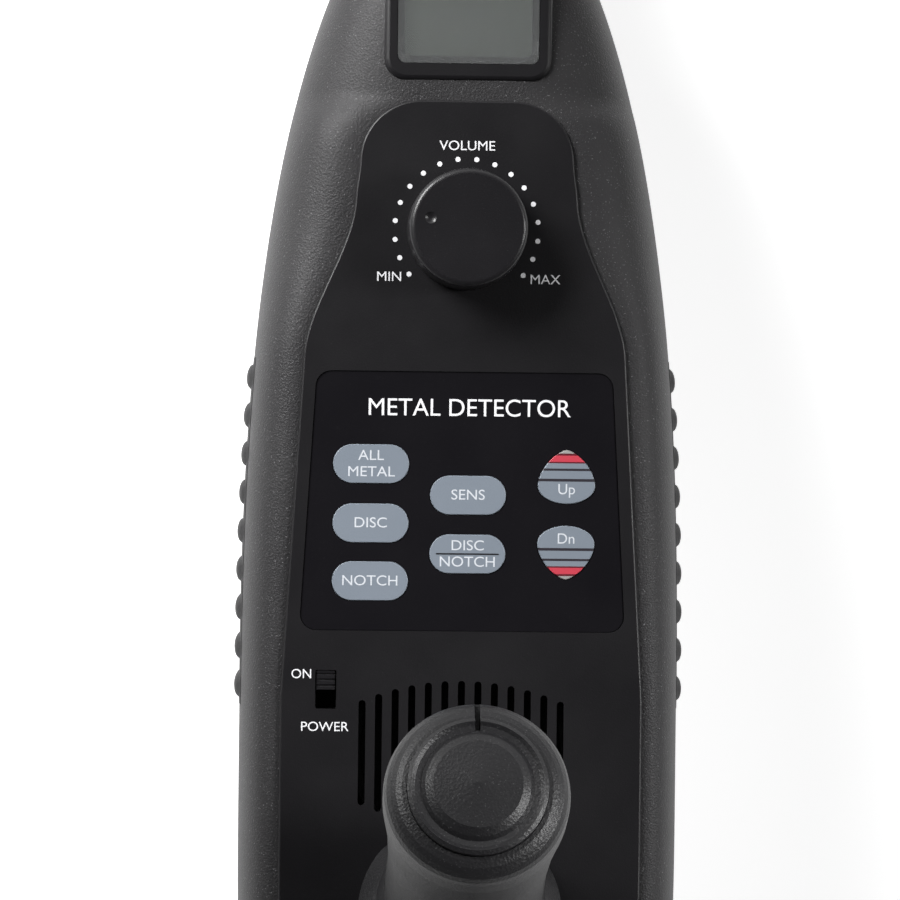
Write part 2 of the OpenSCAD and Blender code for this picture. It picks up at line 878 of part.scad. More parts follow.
module stem_cap() {
    color("#151516") stand() {
        along_y(stem_rear - 3, stem_rear, stem_r + 0.8, stem_z);
        along_y(stem_rear - 0.1, stem_rear + 14, stem_r - 1.42, stem_z);
    }
}

module arm_bracket() {
    color("#1b1b1d") stand() difference() {
        union() {
            along_y(arm_y - 20, arm_y + 20, 15, stem_z);
            box(-9, 9, arm_y - 18, arm_y + 18, stem_z + 10, cup_z - cup_r);
        }
        along_y(arm_y - 21, arm_y + 21, stem_r + run_fit, stem_z);
        along_y(arm_y - 30, arm_y + 30, cup_r + cup_t + 0.02, cup_z);
        along_x(8, 20, 3.05, arm_y, stem_z);
    }
}

// Arc-shaped section of the cup or its pad, open at the top
module cup_section(r_in, r_out, half_angle) {
    arc = function (r, first, last) [
        for (i = [0 : 16]) let (a = first + (last - first) * i / 16) [r * sin(a), -r * cos(a)]
    ];
    polygon(concat(arc(r_out, -half_angle, half_angle), arc(r_in, half_angle, -half_angle)));
}

module arm_cup() {
    color("#1e1e21") stand() translate([0, arm_y + cup_l / 2, cup_z]) rotate([90, 0, 0])
        linear_extrude(cup_l) intersection() {
            difference() {
                circle(cup_r + cup_t);
                circle(cup_r);
            }
            translate([-100, -100]) square([200, 92]);
        }
}

module arm_pad() {
    color("#161617") stand() translate([0, arm_y + cup_l / 2 - 3, cup_z]) rotate([90, 0, 0])
        linear_extrude(cup_l - 6) cup_section(cup_r - 4, cup_r - 0.3, 72);
}

module clamp_knob() {
    color("#151516") stand() {
        along_x(10.6, 17, 3, arm_y, stem_z);
        along_x(16.5, 26, 8, arm_y, stem_z);
        for (a = [0 : 60 : 300])
            along_x(18, 26, 2, arm_y + 8 * cos(a), stem_z + 8 * sin(a));
    }
}

upper_shell();
lower_shell();
side_grip_left();
side_grip_right();
shell_screws();
shaft_bolt();
feet();
label_overlay();
key_all_metal();
key_disc();
key_notch();
key_sens();
key_disc_notch();
key_up();
key_down();
dome_sheet();
key_board();
volume_knob();
pot_shaft();
pot_body();
pot_nut();
power_slider();
switch_body();
display_lens();
display_module();
main_board();
speaker_frame();
speaker_cone();
speaker_magnet();
battery_tray();
batteries();
battery_contacts();
battery_door();
headphone_jack();
jack_nut();
coil_connector();
handle_left();
handle_right();
handle_cap();
handle_screws();
handle_bolts();
upper_shaft();
lock_collar();
lock_bush();
lower_shaft();
shaft_yoke();
coil_washers();
coil_bolt();
coil_nut();
coil_top();
coil_cover();
transmit_winding();
receive_winding();
coil_gland();
rear_stem();
stem_cap();
arm_bracket();
arm_cup();
arm_pad();
clamp_knob();
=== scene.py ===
# %% [markdown]
# # A metal detector, head to coil
#
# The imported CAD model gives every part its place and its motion. This lesson dresses it: the
# moulded housing, the printed panel, the keys, the knob, the side grips and the arm pad are
# rebuilt as finer meshes, and every other part keeps its CAD shape and gets a material.

# %% Load the frame
import math

import bmesh
import bpy
from mathutils import Matrix, Vector


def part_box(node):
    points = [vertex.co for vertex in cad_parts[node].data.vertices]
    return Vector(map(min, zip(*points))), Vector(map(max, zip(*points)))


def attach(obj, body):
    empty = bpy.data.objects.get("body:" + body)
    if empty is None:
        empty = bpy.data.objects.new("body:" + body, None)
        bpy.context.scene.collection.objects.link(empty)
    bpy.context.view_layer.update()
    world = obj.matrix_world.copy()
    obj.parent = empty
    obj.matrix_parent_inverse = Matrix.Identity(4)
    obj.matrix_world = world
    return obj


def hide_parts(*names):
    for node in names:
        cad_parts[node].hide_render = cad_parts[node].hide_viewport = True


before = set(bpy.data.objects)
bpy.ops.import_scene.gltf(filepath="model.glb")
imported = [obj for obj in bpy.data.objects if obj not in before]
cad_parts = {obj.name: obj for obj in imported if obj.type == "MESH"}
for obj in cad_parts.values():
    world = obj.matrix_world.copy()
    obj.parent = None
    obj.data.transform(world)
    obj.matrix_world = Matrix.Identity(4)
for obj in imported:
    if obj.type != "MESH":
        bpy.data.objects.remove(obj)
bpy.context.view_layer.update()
MM = 0.001

# %% [markdown]
# The head is drawn in millimetres around the volume knob's axis, because everything on the
# panel is laid out from the knob. Three nodes of the CAD model give the knob's axis, the
# height of the panel, and the housing's width and depth.

# %% Find the head's own frame
knob_low, knob_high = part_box("volume_knob")
shell_low, shell_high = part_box("upper_shell")
lower_low, lower_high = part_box("lower_shell")
HEAD_Y = (knob_low.y + knob_high.y) / 2
PANEL_Z = shell_high.z / MM
CROWN_Z = PANEL_Z - 1.0
SPLIT_Z = shell_low.z / MM
BASE_Z = lower_low.z / MM
HALF_W = (lower_high.x - lower_low.x) / 2 / MM
WALL = 2.5
KNOB_R = (knob_high.x - knob_low.x) / 2 / MM
print("panel at", round(PANEL_Z, 2), "split at", round(SPLIT_Z, 2), "half width", round(HALF_W, 2))


def to_frame(bm):
    """Takes a head-frame mesh in millimetres to the shared frame in metres."""
    bmesh.ops.scale(bm, vec=(MM, MM, MM), verts=bm.verts)
    bmesh.ops.translate(bm, vec=(0, HEAD_Y, 0), verts=bm.verts)


# %% [markdown]
# The camera looks almost straight down on the panel, a little from the left, much as someone
# who holds the detector sees it. It is set before anything is modelled, so that each step
# can be judged from the same place.

# %% Camera
VIEW_CENTRE = Vector((-3.2, -49.6, PANEL_Z)) * MM + Vector((0, HEAD_Y, 0))
VIEW_WIDTH = 0.2036
VIEW_DISTANCE = 0.80
SIDE_ANGLE = math.radians(1.9)
ROLL = math.radians(-0.64)

camera_data = bpy.data.cameras.new("camera")
camera_data.lens = 36.0 * VIEW_DISTANCE / VIEW_WIDTH
camera_data.sensor_width = 36.0
camera_data.clip_end = 20
camera = bpy.data.objects.new("camera", camera_data)
bpy.context.scene.collection.objects.link(camera)
camera.location = VIEW_CENTRE + Vector(
    (-math.sin(SIDE_ANGLE) * VIEW_DISTANCE, 0, math.cos(SIDE_ANGLE) * VIEW_DISTANCE)
)
look = (VIEW_CENTRE - camera.location).normalized()
right = look.cross(Vector((0, 1, 0))).normalized()
upward = right.cross(look)
turn = Matrix((right, upward, -look)).transposed().to_4x4()
camera.matrix_world = (
    Matrix.Translation(camera.location) @ turn @ Matrix.Rotation(-ROLL, 4, "Z")
)
bpy.context.scene.camera = camera
print("lens", round(camera_data.lens, 1), "mm")

# %% [markdown]
# ## Finishes
#
# Moulded plastic is never one flat colour: it has a spark-eroded grain, slow changes of
# gloss, and a little dust. Two node groups carry that. One gives a grain height, and the
# other varies colour and roughness over the surface and adds pale specks, partly dust and
# partly painted glints of the grain. Each material sets its own scale.


# %% Node groups
def new_group(name, inputs, outputs):
    group = bpy.data.node_groups.new(name, "ShaderNodeTree")
    for label, kind, value in inputs:
        socket = group.interface.new_socket(label, in_out="INPUT", socket_type=kind)
        socket.default_value = value
    for label, kind in outputs:
        group.interface.new_socket(label, in_out="OUTPUT", socket_type=kind)
    entry = group.nodes.new("NodeGroupInput")
    leave = group.nodes.new("NodeGroupOutput")
    return group, entry, leave


def make_grain_group():
    """Grain height from a fine noise with small pits cut into it."""
    group, entry, leave = new_group(
        "moulded_grain",
        [("Scale", "NodeSocketFloat", 1500.0), ("Pits", "NodeSocketFloat", 0.5)],
        [("Height", "NodeSocketFloat")],
    )
    place = group.nodes.new("ShaderNodeTexCoord")
    noise = group.nodes.new("ShaderNodeTexNoise")
    noise.inputs["Detail"].default_value = 3.0
    noise.inputs["Roughness"].default_value = 0.6
    cells = group.nodes.new("ShaderNodeTexVoronoi")
    mix = group.nodes.new("ShaderNodeMix")
    link = group.links.new
    link(place.outputs["Object"], noise.inputs["Vector"])
    link(place.outputs["Object"], cells.inputs["Vector"])
    link(entry.outputs["Scale"], noise.inputs["Scale"])
    link(entry.outputs["Scale"], cells.inputs["Scale"])
    link(entry.outputs["Pits"], mix.inputs["Factor"])
    link(noise.outputs["Fac"], mix.inputs["A"])
    link(cells.outputs["Distance"], mix.inputs["B"])
    link(mix.outputs["Result"], leave.inputs["Height"])
    return group


def make_variation_group():
    """Slow changes of colour and gloss, with pale specks that are partly dust and partly painted
    glints.
    """
    group, entry, leave = new_group(
        "surface_variation",
        [
            ("Color", "NodeSocketColor", (0.1, 0.1, 0.1, 1)),
            ("Second", "NodeSocketColor", (0.12, 0.12, 0.12, 1)),
            ("Roughness", "NodeSocketFloat", 0.5),
            ("Spread", "NodeSocketFloat", 0.1),
            ("Scale", "NodeSocketFloat", 60.0),
            ("Dust_and_glints", "NodeSocketFloat", 0.05),
        ],
        [("Color", "NodeSocketColor"), ("Roughness", "NodeSocketFloat")],
    )
    place = group.nodes.new("ShaderNodeTexCoord")
    slow = group.nodes.new("ShaderNodeTexNoise")
    slow.inputs["Detail"].default_value = 4.0
    fine = group.nodes.new("ShaderNodeTexNoise")
    fine.inputs["Scale"].default_value = DUST_AND_GLINT_SCALE
    specks = group.nodes.new("ShaderNodeValToRGB")
    for element, position in zip(specks.color_ramp.elements, DUST_AND_GLINT_EDGES):
        element.position = position
    colour = group.nodes.new("ShaderNodeMix")
    colour.data_type = "RGBA"
    with_dust_and_glints = group.nodes.new("ShaderNodeMix")
    with_dust_and_glints.data_type = "RGBA"
    with_dust_and_glints.inputs[7].default_value = DUST_AND_GLINT_COLOUR
    strength = group.nodes.new("ShaderNodeMath")
    strength.operation = "MULTIPLY"
    spread = group.nodes.new("ShaderNodeMath")
    spread.operation = "MULTIPLY_ADD"
    centre = group.nodes.new("ShaderNodeMath")
    centre.operation = "SUBTRACT"
    centre.inputs[1].default_value = 0.5
    link = group.links.new
    link(place.outputs["Object"], slow.inputs["Vector"])
    link(place.outputs["Object"], fine.inputs["Vector"])
    link(entry.outputs["Scale"], slow.inputs["Scale"])
    link(slow.outputs["Fac"], colour.inputs[0])
    link(entry.outputs["Color"], colour.inputs[6])
    link(entry.outputs["Second"], colour.inputs[7])
    link(fine.outputs["Fac"], specks.inputs["Fac"])
    link(specks.outputs["Color"], strength.inputs[0])
    link(entry.outputs["Dust_and_glints"], strength.inputs[1])
    link(strength.outputs[0], with_dust_and_glints.inputs[0])
    link(colour.outputs[2], with_dust_and_glints.inputs[6])
    link(with_dust_and_glints.outputs[2], leave.inputs["Color"])
    link(slow.outputs["Fac"], centre.inputs[0])
    link(centre.outputs[0], spread.inputs[0])
    link(entry.outputs["Spread"], spread.inputs[1])
    link(entry.outputs["Roughness"], spread.inputs[2])
    link(spread.outputs[0], leave.inputs["Roughness"])
    return group


# Pale specks: partly dust, partly painted glints that make the grain show.
DUST_AND_GLINT_SCALE, DUST_AND_GLINT_EDGES, DUST_AND_GLINT_COLOUR = 2600.0, (0.66, 0.72), (0.42, 0.42, 0.43, 1)
GRAIN = make_grain_group()
VARIATION = make_variation_group()
print("groups:", [g.name for g in bpy.data.node_groups])

# %% [markdown]
# Every finish below is the same short recipe with its own numbers: two close colours, a
# roughness with its spread, a grain size and a bump depth. Metals and films only change the
# settings on the shader.


# %% Material recipe
def finish(name, color, second, rough, spread=0.1, grain=1500.0, depth=0.00002, pits=0.5,
           metallic=0.0, coat=0.0, slow=60.0, dust_and_glints=0.03, specular=0.5):
    material = bpy.data.materials.new(name)
    material.use_nodes = True
    nodes = material.node_tree.nodes
    link = material.node_tree.links.new
    shader = nodes["Principled BSDF"]
    vary = nodes.new("ShaderNodeGroup")
    vary.node_tree = VARIATION
    vary.inputs["Color"].default_value = (*color, 1)
    vary.inputs["Second"].default_value = (*second, 1)
    vary.inputs["Roughness"].default_value = rough
    vary.inputs["Spread"].default_value = spread
    vary.inputs["Scale"].default_value = slow
    vary.inputs["Dust_and_glints"].default_value = dust_and_glints
    height = nodes.new("ShaderNodeGroup")
    height.node_tree = GRAIN
    height.inputs["Scale"].default_value = grain
    height.inputs["Pits"].default_value = pits
    bump = nodes.new("ShaderNodeBump")
    bump.inputs["Distance"].default_value = depth
    shader.inputs["Metallic"].default_value = metallic
    shader.inputs["Coat Weight"].default_value = coat
    shader.inputs["Coat Roughness"].default_value = 0.2
    shader.inputs["Specular IOR Level"].default_value = specular
    link(vary.outputs["Color"], shader.inputs["Base Color"])
    link(vary.outputs["Roughness"], shader.inputs["Roughness"])
    link(height.outputs["Height"], bump.inputs["Height"])
    link(bump.outputs["Normal"], shader.inputs["Normal"])
    return material


def assign(obj, material):
    obj.data.materials.clear()
    obj.data.materials.append(material)


# The textured plastic has the strongest specks: dust and painted glints of its grain.
textured_plastic = finish("textured_plastic", (0.021, 0.020, 0.022), (0.031, 0.030, 0.031),
                          0.54, grain=2100.0, depth=0.00014, pits=0.5, dust_and_glints=0.34, specular=0.4)
panel_plastic = finish("panel_plastic", (0.0055, 0.0050, 0.0063), (0.0075, 0.0068, 0.0083),
                       0.42, grain=2600.0, depth=0.00002, dust_and_glints=0.012)
label_film = finish("label_film", (0.0045, 0.0040, 0.0058), (0.0060, 0.0053, 0.0072),
                    0.34, spread=0.08, grain=3000.0, depth=0.000012, dust_and_glints=0.01, specular=0.4)
KEY_FINISH = {"color": (0.205, 0.240, 0.285), "second": (0.235, 0.268, 0.315),
              "rough": 0.42, "grain": 2600.0, "depth": 0.00001, "dust_and_glints": 0.02}
key_print = finish("key_print", **KEY_FINISH)
knob_plastic = finish("knob_plastic", (0.0095, 0.0092, 0.0105), (0.013, 0.012, 0.014),
                      0.33, grain=2400.0, depth=0.00003, dust_and_glints=0.03)
rubber = finish("rubber", (0.020, 0.020, 0.021), (0.028, 0.027, 0.028),
                0.72, grain=1400.0, depth=0.00012, dust_and_glints=0.08)
handle_plastic = finish("handle_plastic", (0.010, 0.0098, 0.011), (0.015, 0.0145, 0.016),
                        0.44, grain=1700.0, depth=0.00009, pits=0.6, dust_and_glints=0.12, specular=0.4)
nylon = finish("nylon", (0.017, 0.017, 0.018), (0.024, 0.023, 0.025),
               0.52, grain=1600.0, depth=0.00008, dust_and_glints=0.05)
coil_plastic = finish("coil_plastic", (0.020, 0.020, 0.022), (0.030, 0.029, 0.031),
                      0.55, grain=900.0, depth=0.00016, dust_and_glints=0.07)
natural_nylon = finish("natural_nylon", (0.62, 0.60, 0.54), (0.70, 0.68, 0.62), 0.45)
steel = finish("steel", (0.52, 0.52, 0.53), (0.62, 0.62, 0.62), 0.32, metallic=1.0,
               grain=1800.0, depth=0.00003)
nickel = finish("nickel", (0.66, 0.64, 0.60), (0.74, 0.72, 0.68), 0.22, metallic=1.0,
                grain=2600.0, depth=0.00001)
black_tube = finish("black_tube", (0.018, 0.018, 0.020), (0.026, 0.026, 0.028), 0.36,
                    metallic=0.6, grain=2200.0, depth=0.00003, dust_and_glints=0.03)
glass_fibre = finish("glass_fibre", (0.020, 0.020, 0.022), (0.034, 0.034, 0.036), 0.34,
                     coat=0.3, grain=700.0, depth=0.00005, dust_and_glints=0.03)
circuit_board = finish("circuit_board", (0.012, 0.085, 0.030), (0.018, 0.11, 0.04), 0.35,
                       coat=0.4)
dome_film = finish("dome_film", (0.55, 0.55, 0.50), (0.62, 0.62, 0.57), 0.3)
display_dark = finish("display_dark", (0.115, 0.130, 0.105), (0.135, 0.150, 0.120), 0.24,
                      coat=0.5)
# Near-black of the speaker cone. On the speaker frame and the switch body it is painted shade that
# keeps the grille slots and the switch slot dark.
cone_paper_and_slot_shade = finish("cone_paper_and_slot_shade", (0.010, 0.010, 0.011), (0.018, 0.018, 0.019), 0.75)
battery_wrap = finish("battery_wrap", (0.05, 0.06, 0.09), (0.07, 0.08, 0.11), 0.3, coat=0.3)
copper = finish("copper", (0.50, 0.19, 0.08), (0.62, 0.26, 0.12), 0.32, metallic=1.0,
                grain=600.0, depth=0.0001)
foam = finish("foam", (0.016, 0.016, 0.017), (0.026, 0.026, 0.027), 0.88, grain=700.0,
              depth=0.0003, pits=0.8, dust_and_glints=0.05)
white_print = finish("white_print", (0.93, 0.93, 0.96), (0.97, 0.97, 0.99), 0.5)
key_letter = finish("key_letter", (0.66, 0.69, 0.74), (0.72, 0.75, 0.79), 0.5)
print("materials:", len(bpy.data.materials))

# %% [markdown]
# The display window is clear plastic over a grey-green liquid crystal cell, so it is the one
# material that lets light through.


# %% Display window
def make_window():
    material = finish("window", (0.75, 0.78, 0.78), (0.80, 0.82, 0.82), 0.06, spread=0.02,
                      depth=0.0, dust_and_glints=0.0)
    shader = material.node_tree.nodes["Principled BSDF"]
    shader.inputs["Transmission Weight"].default_value = 0.9
    shader.inputs["IOR"].default_value = 1.49
    return material


window = make_window()
print("window:", window.name)

# %% [markdown]
# ## Shared outlines
#
# The panel is a neck round the knob that swells to the width of the keypad, and the housing
# narrows to its nose along a superellipse. These curves are the ones that the CAD model
# uses, so the finer meshes lie exactly on it.

# %% Curves of the housing
NOSE_Y, REAR_Y, FULL_Y, TAPER_Y, NOSE_TIP = 82.0, -235.0, -106.0, -130.0, 90.0
NECK_W, WAIST_W, PANEL_REAR_W = 25.2, 36.6, 41.0
CORNER_R, PANEL_FRONT, PANEL_REAR, NECK_EASE = 14.0, 29.5, -228.0, 0.9
FRONT_FLAT = NECK_W - NECK_EASE - CORNER_R
NECK_EASE_L, NECK_Y, WAIST_Y = 8, 8, -30
TAIL_NARROWS = 0.25
CROWN_DIPS_Y, CROWN_DIP = 26, 0.3
BASE_RISES_Y, BASE_RISE = 10, 8
BASE_CORNER, SHOULDER_POWER = 14, 0.8


def ease(t):
    t = min(1.0, max(0.0, t))
    return t * t * (3 - 2 * t)


def half_width(y):
    if y > FULL_Y:
        return HALF_W * math.sqrt(1 - ((y - FULL_Y) / (NOSE_TIP - FULL_Y)) ** 2.5)
    if y > TAPER_Y:
        return HALF_W
    return HALF_W * (1 - TAIL_NARROWS * ((TAPER_Y - y) / (TAPER_Y - REAR_Y)) ** 3)


def panel_width(y):
    if y > PANEL_FRONT - CORNER_R:
        return FRONT_FLAT + math.sqrt(max(0, CORNER_R**2 - (y - PANEL_FRONT + CORNER_R) ** 2))
    if y > WAIST_Y:
        pinch = NECK_EASE * (1 - ease((PANEL_FRONT - CORNER_R - y) / NECK_EASE_L))
        return NECK_W - pinch + (WAIST_W - NECK_W) * ease((NECK_Y - y) / (NECK_Y - WAIST_Y))
    if y > FULL_Y:
        return WAIST_W + (PANEL_REAR_W - WAIST_W) * (WAIST_Y - y) / (WAIST_Y - FULL_Y)
    if y > TAPER_Y:
        return PANEL_REAR_W
    return PANEL_REAR_W * (1 - TAIL_NARROWS * ((TAPER_Y - y) / (TAPER_Y - REAR_Y)) ** 3)


def crown_width(y):
    return min(10, half_width(y) / 2) if y > PANEL_FRONT else panel_width(y)


def top_height(y):
    if y > CROWN_DIPS_Y:
        dip = CROWN_DIP * ((y - CROWN_DIPS_Y) / (NOSE_Y - CROWN_DIPS_Y)) ** 2.5
        return SPLIT_Z + (CROWN_Z - SPLIT_Z) * (1 - dip)
    return CROWN_Z


def bottom_height(y):
    if y > BASE_RISES_Y:
        return BASE_Z + BASE_RISE * ((y - BASE_RISES_Y) / (NOSE_Y - BASE_RISES_Y)) ** 2.5
    return BASE_Z


print("half widths:", [round(half_width(y), 1) for y in (-200, -100, 0, 60)])

# %% [markdown]
# Every piece is drawn in head millimetres as a bmesh, and finished in the same way. A prism
# is a flat outline extruded down, and its top edges can be rounded with a bevel. Openings
# are cut with an exact boolean, which leaves clean walls where a hole meets a curved shell.


# %% Mesh helpers
def flatten_level_faces(mesh):
    """Level faces shade flat, so that a face full of cut-outs stays even."""
    for face in mesh.polygons:
        if abs(face.normal.z) > 0.99999:
            face.use_smooth = False


def finish_mesh(bm, name, material, smooth_angle=35, headed=True):
    """Turns a bmesh into an object with smooth faces and crisp edges."""
    if headed:
        to_frame(bm)
    mesh = bpy.data.meshes.new(name)
    bm.to_mesh(mesh)
    bm.free()
    obj = bpy.data.objects.new(name, mesh)
    bpy.context.scene.collection.objects.link(obj)
    mesh.materials.append(material)
    mesh.shade_smooth()
    mesh.set_sharp_from_angle(angle=math.radians(smooth_angle))
    flatten_level_faces(mesh)
    return obj


def prism(bm, outline, z_low, z_high):
    """Extrudes a flat outline, given counter-clockwise from above, and returns its top edges."""
    base = bm.faces.new([bm.verts.new((x, y, z_high)) for x, y in outline])
    bm.normal_update()
    grown = bmesh.ops.extrude_face_region(bm, geom=[base])
    moved = [v for v in grown["geom"] if isinstance(v, bmesh.types.BMVert)]
    bmesh.ops.translate(bm, vec=(0, 0, z_low - z_high), verts=moved)
    bmesh.ops.recalc_face_normals(bm, faces=bm.faces)
    return list(base.edges)


def round_edges(bm, edges, offset, segments=3):
    bmesh.ops.bevel(bm, geom=edges, offset=offset, segments=segments, profile=0.5,
                    affect="EDGES", material=-1, clamp_overlap=True)


def arc(cx, cy, r, first, last, steps):
    return [
        (cx + r * math.cos(math.radians(first + (last - first) * i / steps)),
         cy + r * math.sin(math.radians(first + (last - first) * i / steps)))
        for i in range(steps + 1)
    ]


def oval_outline(cx, cy, length, width, grow=0.0, steps=20):
    reach = (length - width) / 2
    r = width / 2 + grow
    return arc(cx + reach, cy, r, -90, 90, steps) + arc(cx - reach, cy, r, 90, 270, steps)


def box_outline(cx, cy, length, width, r, steps=8):
    a, b = length / 2 - r, width / 2 - r
    return (arc(cx + a, cy - b, r, -90, 0, steps) + arc(cx + a, cy + b, r, 0, 90, steps)
            + arc(cx - a, cy + b, r, 90, 180, steps) + arc(cx - a, cy - b, r, 180, 270, steps))


def apply_modifiers(obj):
    graph = bpy.context.evaluated_depsgraph_get()
    mesh = bpy.data.meshes.new_from_object(obj.evaluated_get(graph))
    obj.modifiers.clear()
    obj.data = mesh


def cut(obj, cutter):
    """Cuts the cutter out of the object and throws the cutter away."""
    step = obj.modifiers.new("cut", "BOOLEAN")
    step.operation = "DIFFERENCE"
    step.solver = "EXACT"
    step.object = cutter
    apply_modifiers(obj)
    flatten_level_faces(obj.data)
    bpy.data.objects.remove(cutter)


# %% [markdown]
# ## Housing
#
# Each shell is lofted: open cross-sections stand along the head, bridge_loops skins each
# pair, and a face closes each end. Solidify then gives the skin its wall, inwards, as a
# moulding has. The sections are closer together at the nose, where the outline turns.


# %% Loft the two shells
def loft(profile, name, material, stations=110):
    bm = bmesh.new()
    chains = []
    for i in range(stations + 1):
        y = REAR_Y + (NOSE_Y - REAR_Y) * (1 - (1 - i / stations) ** 1.25)
        verts = [bm.verts.new((x, y, z)) for x, z in profile(y)]
        chains.append((verts, [bm.edges.new(pair) for pair in zip(verts, verts[1:])]))
    for (_, before), (_, after) in zip(chains, chains[1:]):
        bmesh.ops.bridge_loops(bm, edges=before + after)
    caps = [bm.faces.new(chains[0][0]), bm.faces.new(chains[-1][0])]
    bmesh.ops.recalc_face_normals(bm, faces=bm.faces)
    if caps[0].calc_center_median().y * caps[0].normal.y < 0:
        bmesh.ops.reverse_faces(bm, faces=bm.faces)
    rim = [e for f in caps for e in f.edges if len(e.link_faces) == 2]
    round_edges(bm, rim, 1.4, 3)
    obj = finish_mesh(bm, name, material)
    wall = obj.modifiers.new("wall", "SOLIDIFY")
    wall.thickness = WALL * MM
    wall.offset = -1
    wall.use_even_offset = True
    apply_modifiers(obj)
    return obj


def quarter(flat, width, z_end, steps=18):
    points = []
    for k in range(steps + 1):
        a = math.radians(90 * k / steps)
        points.append((flat + (width - flat) * max(0, math.cos(a)) ** SHOULDER_POWER,
                       SPLIT_Z + (z_end - SPLIT_Z) * math.sin(a) ** SHOULDER_POWER))
    return points


def upper_profile(y):
    side = quarter(crown_width(y), half_width(y), top_height(y))
    return side + [(-x, z) for x, z in reversed(side)]


def lower_profile(y):
    side = quarter(half_width(y) - BASE_CORNER, half_width(y), bottom_height(y))
    return side + [(-x, z) for x, z in reversed(side)]


housing_top = loft(upper_profile, "housing_top", textured_plastic)
housing_base = loft(lower_profile, "housing_base", textured_plastic)
print("top shell faces:", len(housing_top.data.polygons))

# %% [markdown]
# Everything that passes through the crown is cut by one cutter: the knob's bush, the grille
# slots, the switch slot, the display window and the seven keys. The label's recess is only
# as deep as the film needs.

# %% Layout of the panel
OVAL_KEYS = {
    "key_all_metal": (-21, -52.9), "key_disc": (-21, -66.3), "key_notch": (-21, -79.4),
    "key_sens": (1, -59.8), "key_disc_notch": (1, -73.1),
}
KEY_L, KEY_W = 17.2, 8.8
EGG_W, EGG_NOSE, EGG_TAIL, EGG_MID = 6.5, 8.1, 4.05, -2.05
UP_AT, DOWN_AT = (23.3, -55.4), (23.3, -72.6)
SWITCH_AT, SLOT_W, SLOT_L = (-30.7, -104), 4.75, 8.8
KEY_GAP = 0.25
SLOT_PITCH, SLOT_SIDE, GRILLE_W = 3.74, 6, 1.6
GRILLE_ARC, REAR_ARC_Y, FRONT_ARC_Y = 57.7, -77, -159.5
DISPLAY_Y = 49.0
WINDOW_HOLE, LENS_RECESS, BEZEL = (29, 19, 1.5), (32.3, 22.3, 2), (38, 30, 5)
KNOB_BUSH_R = 3.6
LABEL_FRONT, LABEL_REAR = -32.0, -90.5
LABEL_FRONT_W, LABEL_REAR_W, LABEL_R = 67.2, 73.1, 3.5
LABEL_SINK = 0.8


def egg_outline(cx, cy, flip, grow=0.0, steps=24):
    """Egg-shaped key: a narrow end forward and a flat rounded end towards the user."""
    side = []
    for i in range(-steps, steps + 1):
        t = math.sin(math.pi / 2 * i / steps)
        bulge = (1 - t**1.75) ** 0.68 if t >= 0 else math.sqrt(1 - t * t)
        reach = (EGG_NOSE if t >= 0 else EGG_TAIL) + grow
        side.append((EGG_W * bulge + grow, EGG_MID + t * reach))
    points = side + [(-x, y) for x, y in reversed(side) if x > 1e-6]
    turned = -1 if flip else 1
    placed = [(cx + x, cy + turned * y) for x, y in points]
    return placed[::-1] if flip else placed


def label_outline(grow=0.0):
    r = LABEL_R
    front, rear = LABEL_FRONT_W / 2 - r, LABEL_REAR_W / 2 - r
    return (arc(rear, LABEL_REAR + r, r + grow, -90, 0, 8)
            + arc(front, LABEL_FRONT - r, r + grow, 0, 90, 8)
            + arc(-front, LABEL_FRONT - r, r + grow, 90, 180, 8)
            + arc(-rear, LABEL_REAR + r, r + grow, 180, 270, 8))


def slot_ends(x):
    reach = math.sqrt(GRILLE_ARC**2 - x * x)
    return REAR_ARC_Y - reach, FRONT_ARC_Y + reach


def grille_outlines():
    for i in range(-SLOT_SIDE, SLOT_SIDE + 1):
        x = i * SLOT_PITCH
        low, high = slot_ends(x)
        yield (arc(x, high - GRILLE_W / 2, GRILLE_W / 2, 0, 180, 8)
               + arc(x, low + GRILLE_W / 2, GRILLE_W / 2, 180, 360, 8))


def through_cutter():
    bm = bmesh.new()
    low, high = CROWN_Z - 8, PANEL_Z + 3
    prism(bm, arc(0, 0, KNOB_BUSH_R, 0, 350, 35), low, high)
    for outline in grille_outlines():
        prism(bm, outline, low, high)
    prism(bm, box_outline(*SWITCH_AT, SLOT_W, SLOT_L, 0.3, 3), low, high)
    prism(bm, box_outline(0, DISPLAY_Y, *WINDOW_HOLE), low, high)
    for at in OVAL_KEYS.values():
        prism(bm, oval_outline(*at, KEY_L, KEY_W, KEY_GAP), low, high)
    prism(bm, egg_outline(*UP_AT, False, KEY_GAP), low, high)
    prism(bm, egg_outline(*DOWN_AT, True, KEY_GAP), low, high)
    return finish_mesh(bm, "cutter", panel_plastic)


cut(housing_top, through_cutter())
print("grille slot, middle:", [round(v, 1) for v in slot_ends(0)])

# %% [markdown]
# The smooth panel stands a millimetre proud of the textured crown, with a soft edge that
# catches the light along its left side. It is one outline, extruded and bevelled, and the
# same cutter goes through it.


# %% Control panel
def panel_outline():
    ys = [PANEL_REAR + (PANEL_FRONT - CORNER_R - PANEL_REAR) * i / 120 for i in range(121)]
    side = [(panel_width(y), y) for y in ys]
    side += arc(FRONT_FLAT, PANEL_FRONT - CORNER_R, CORNER_R, 0, 90, 16)[1:]
    return side + [(-x, y) for x, y in reversed(side)]


def make_panel():
    bm = bmesh.new()
    top = prism(bm, panel_outline(), CROWN_Z - 1.5, PANEL_Z)
    round_edges(bm, top, 0.45, 4)
    panel = finish_mesh(bm, "control_panel", panel_plastic)
    cut(panel, through_cutter())
    bm = bmesh.new()
    prism(bm, label_outline(0.15), PANEL_Z - LABEL_SINK, PANEL_Z + 2)
    cut(panel, finish_mesh(bm, "recess", panel_plastic))
    return panel


control_panel = make_panel()
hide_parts("upper_shell")
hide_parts("upper_shell")
print("panel faces:", len(control_panel.data.polygons))

# %% [markdown]
# The display sits in a low bezel on the nose. A recess holds the window flush with it.


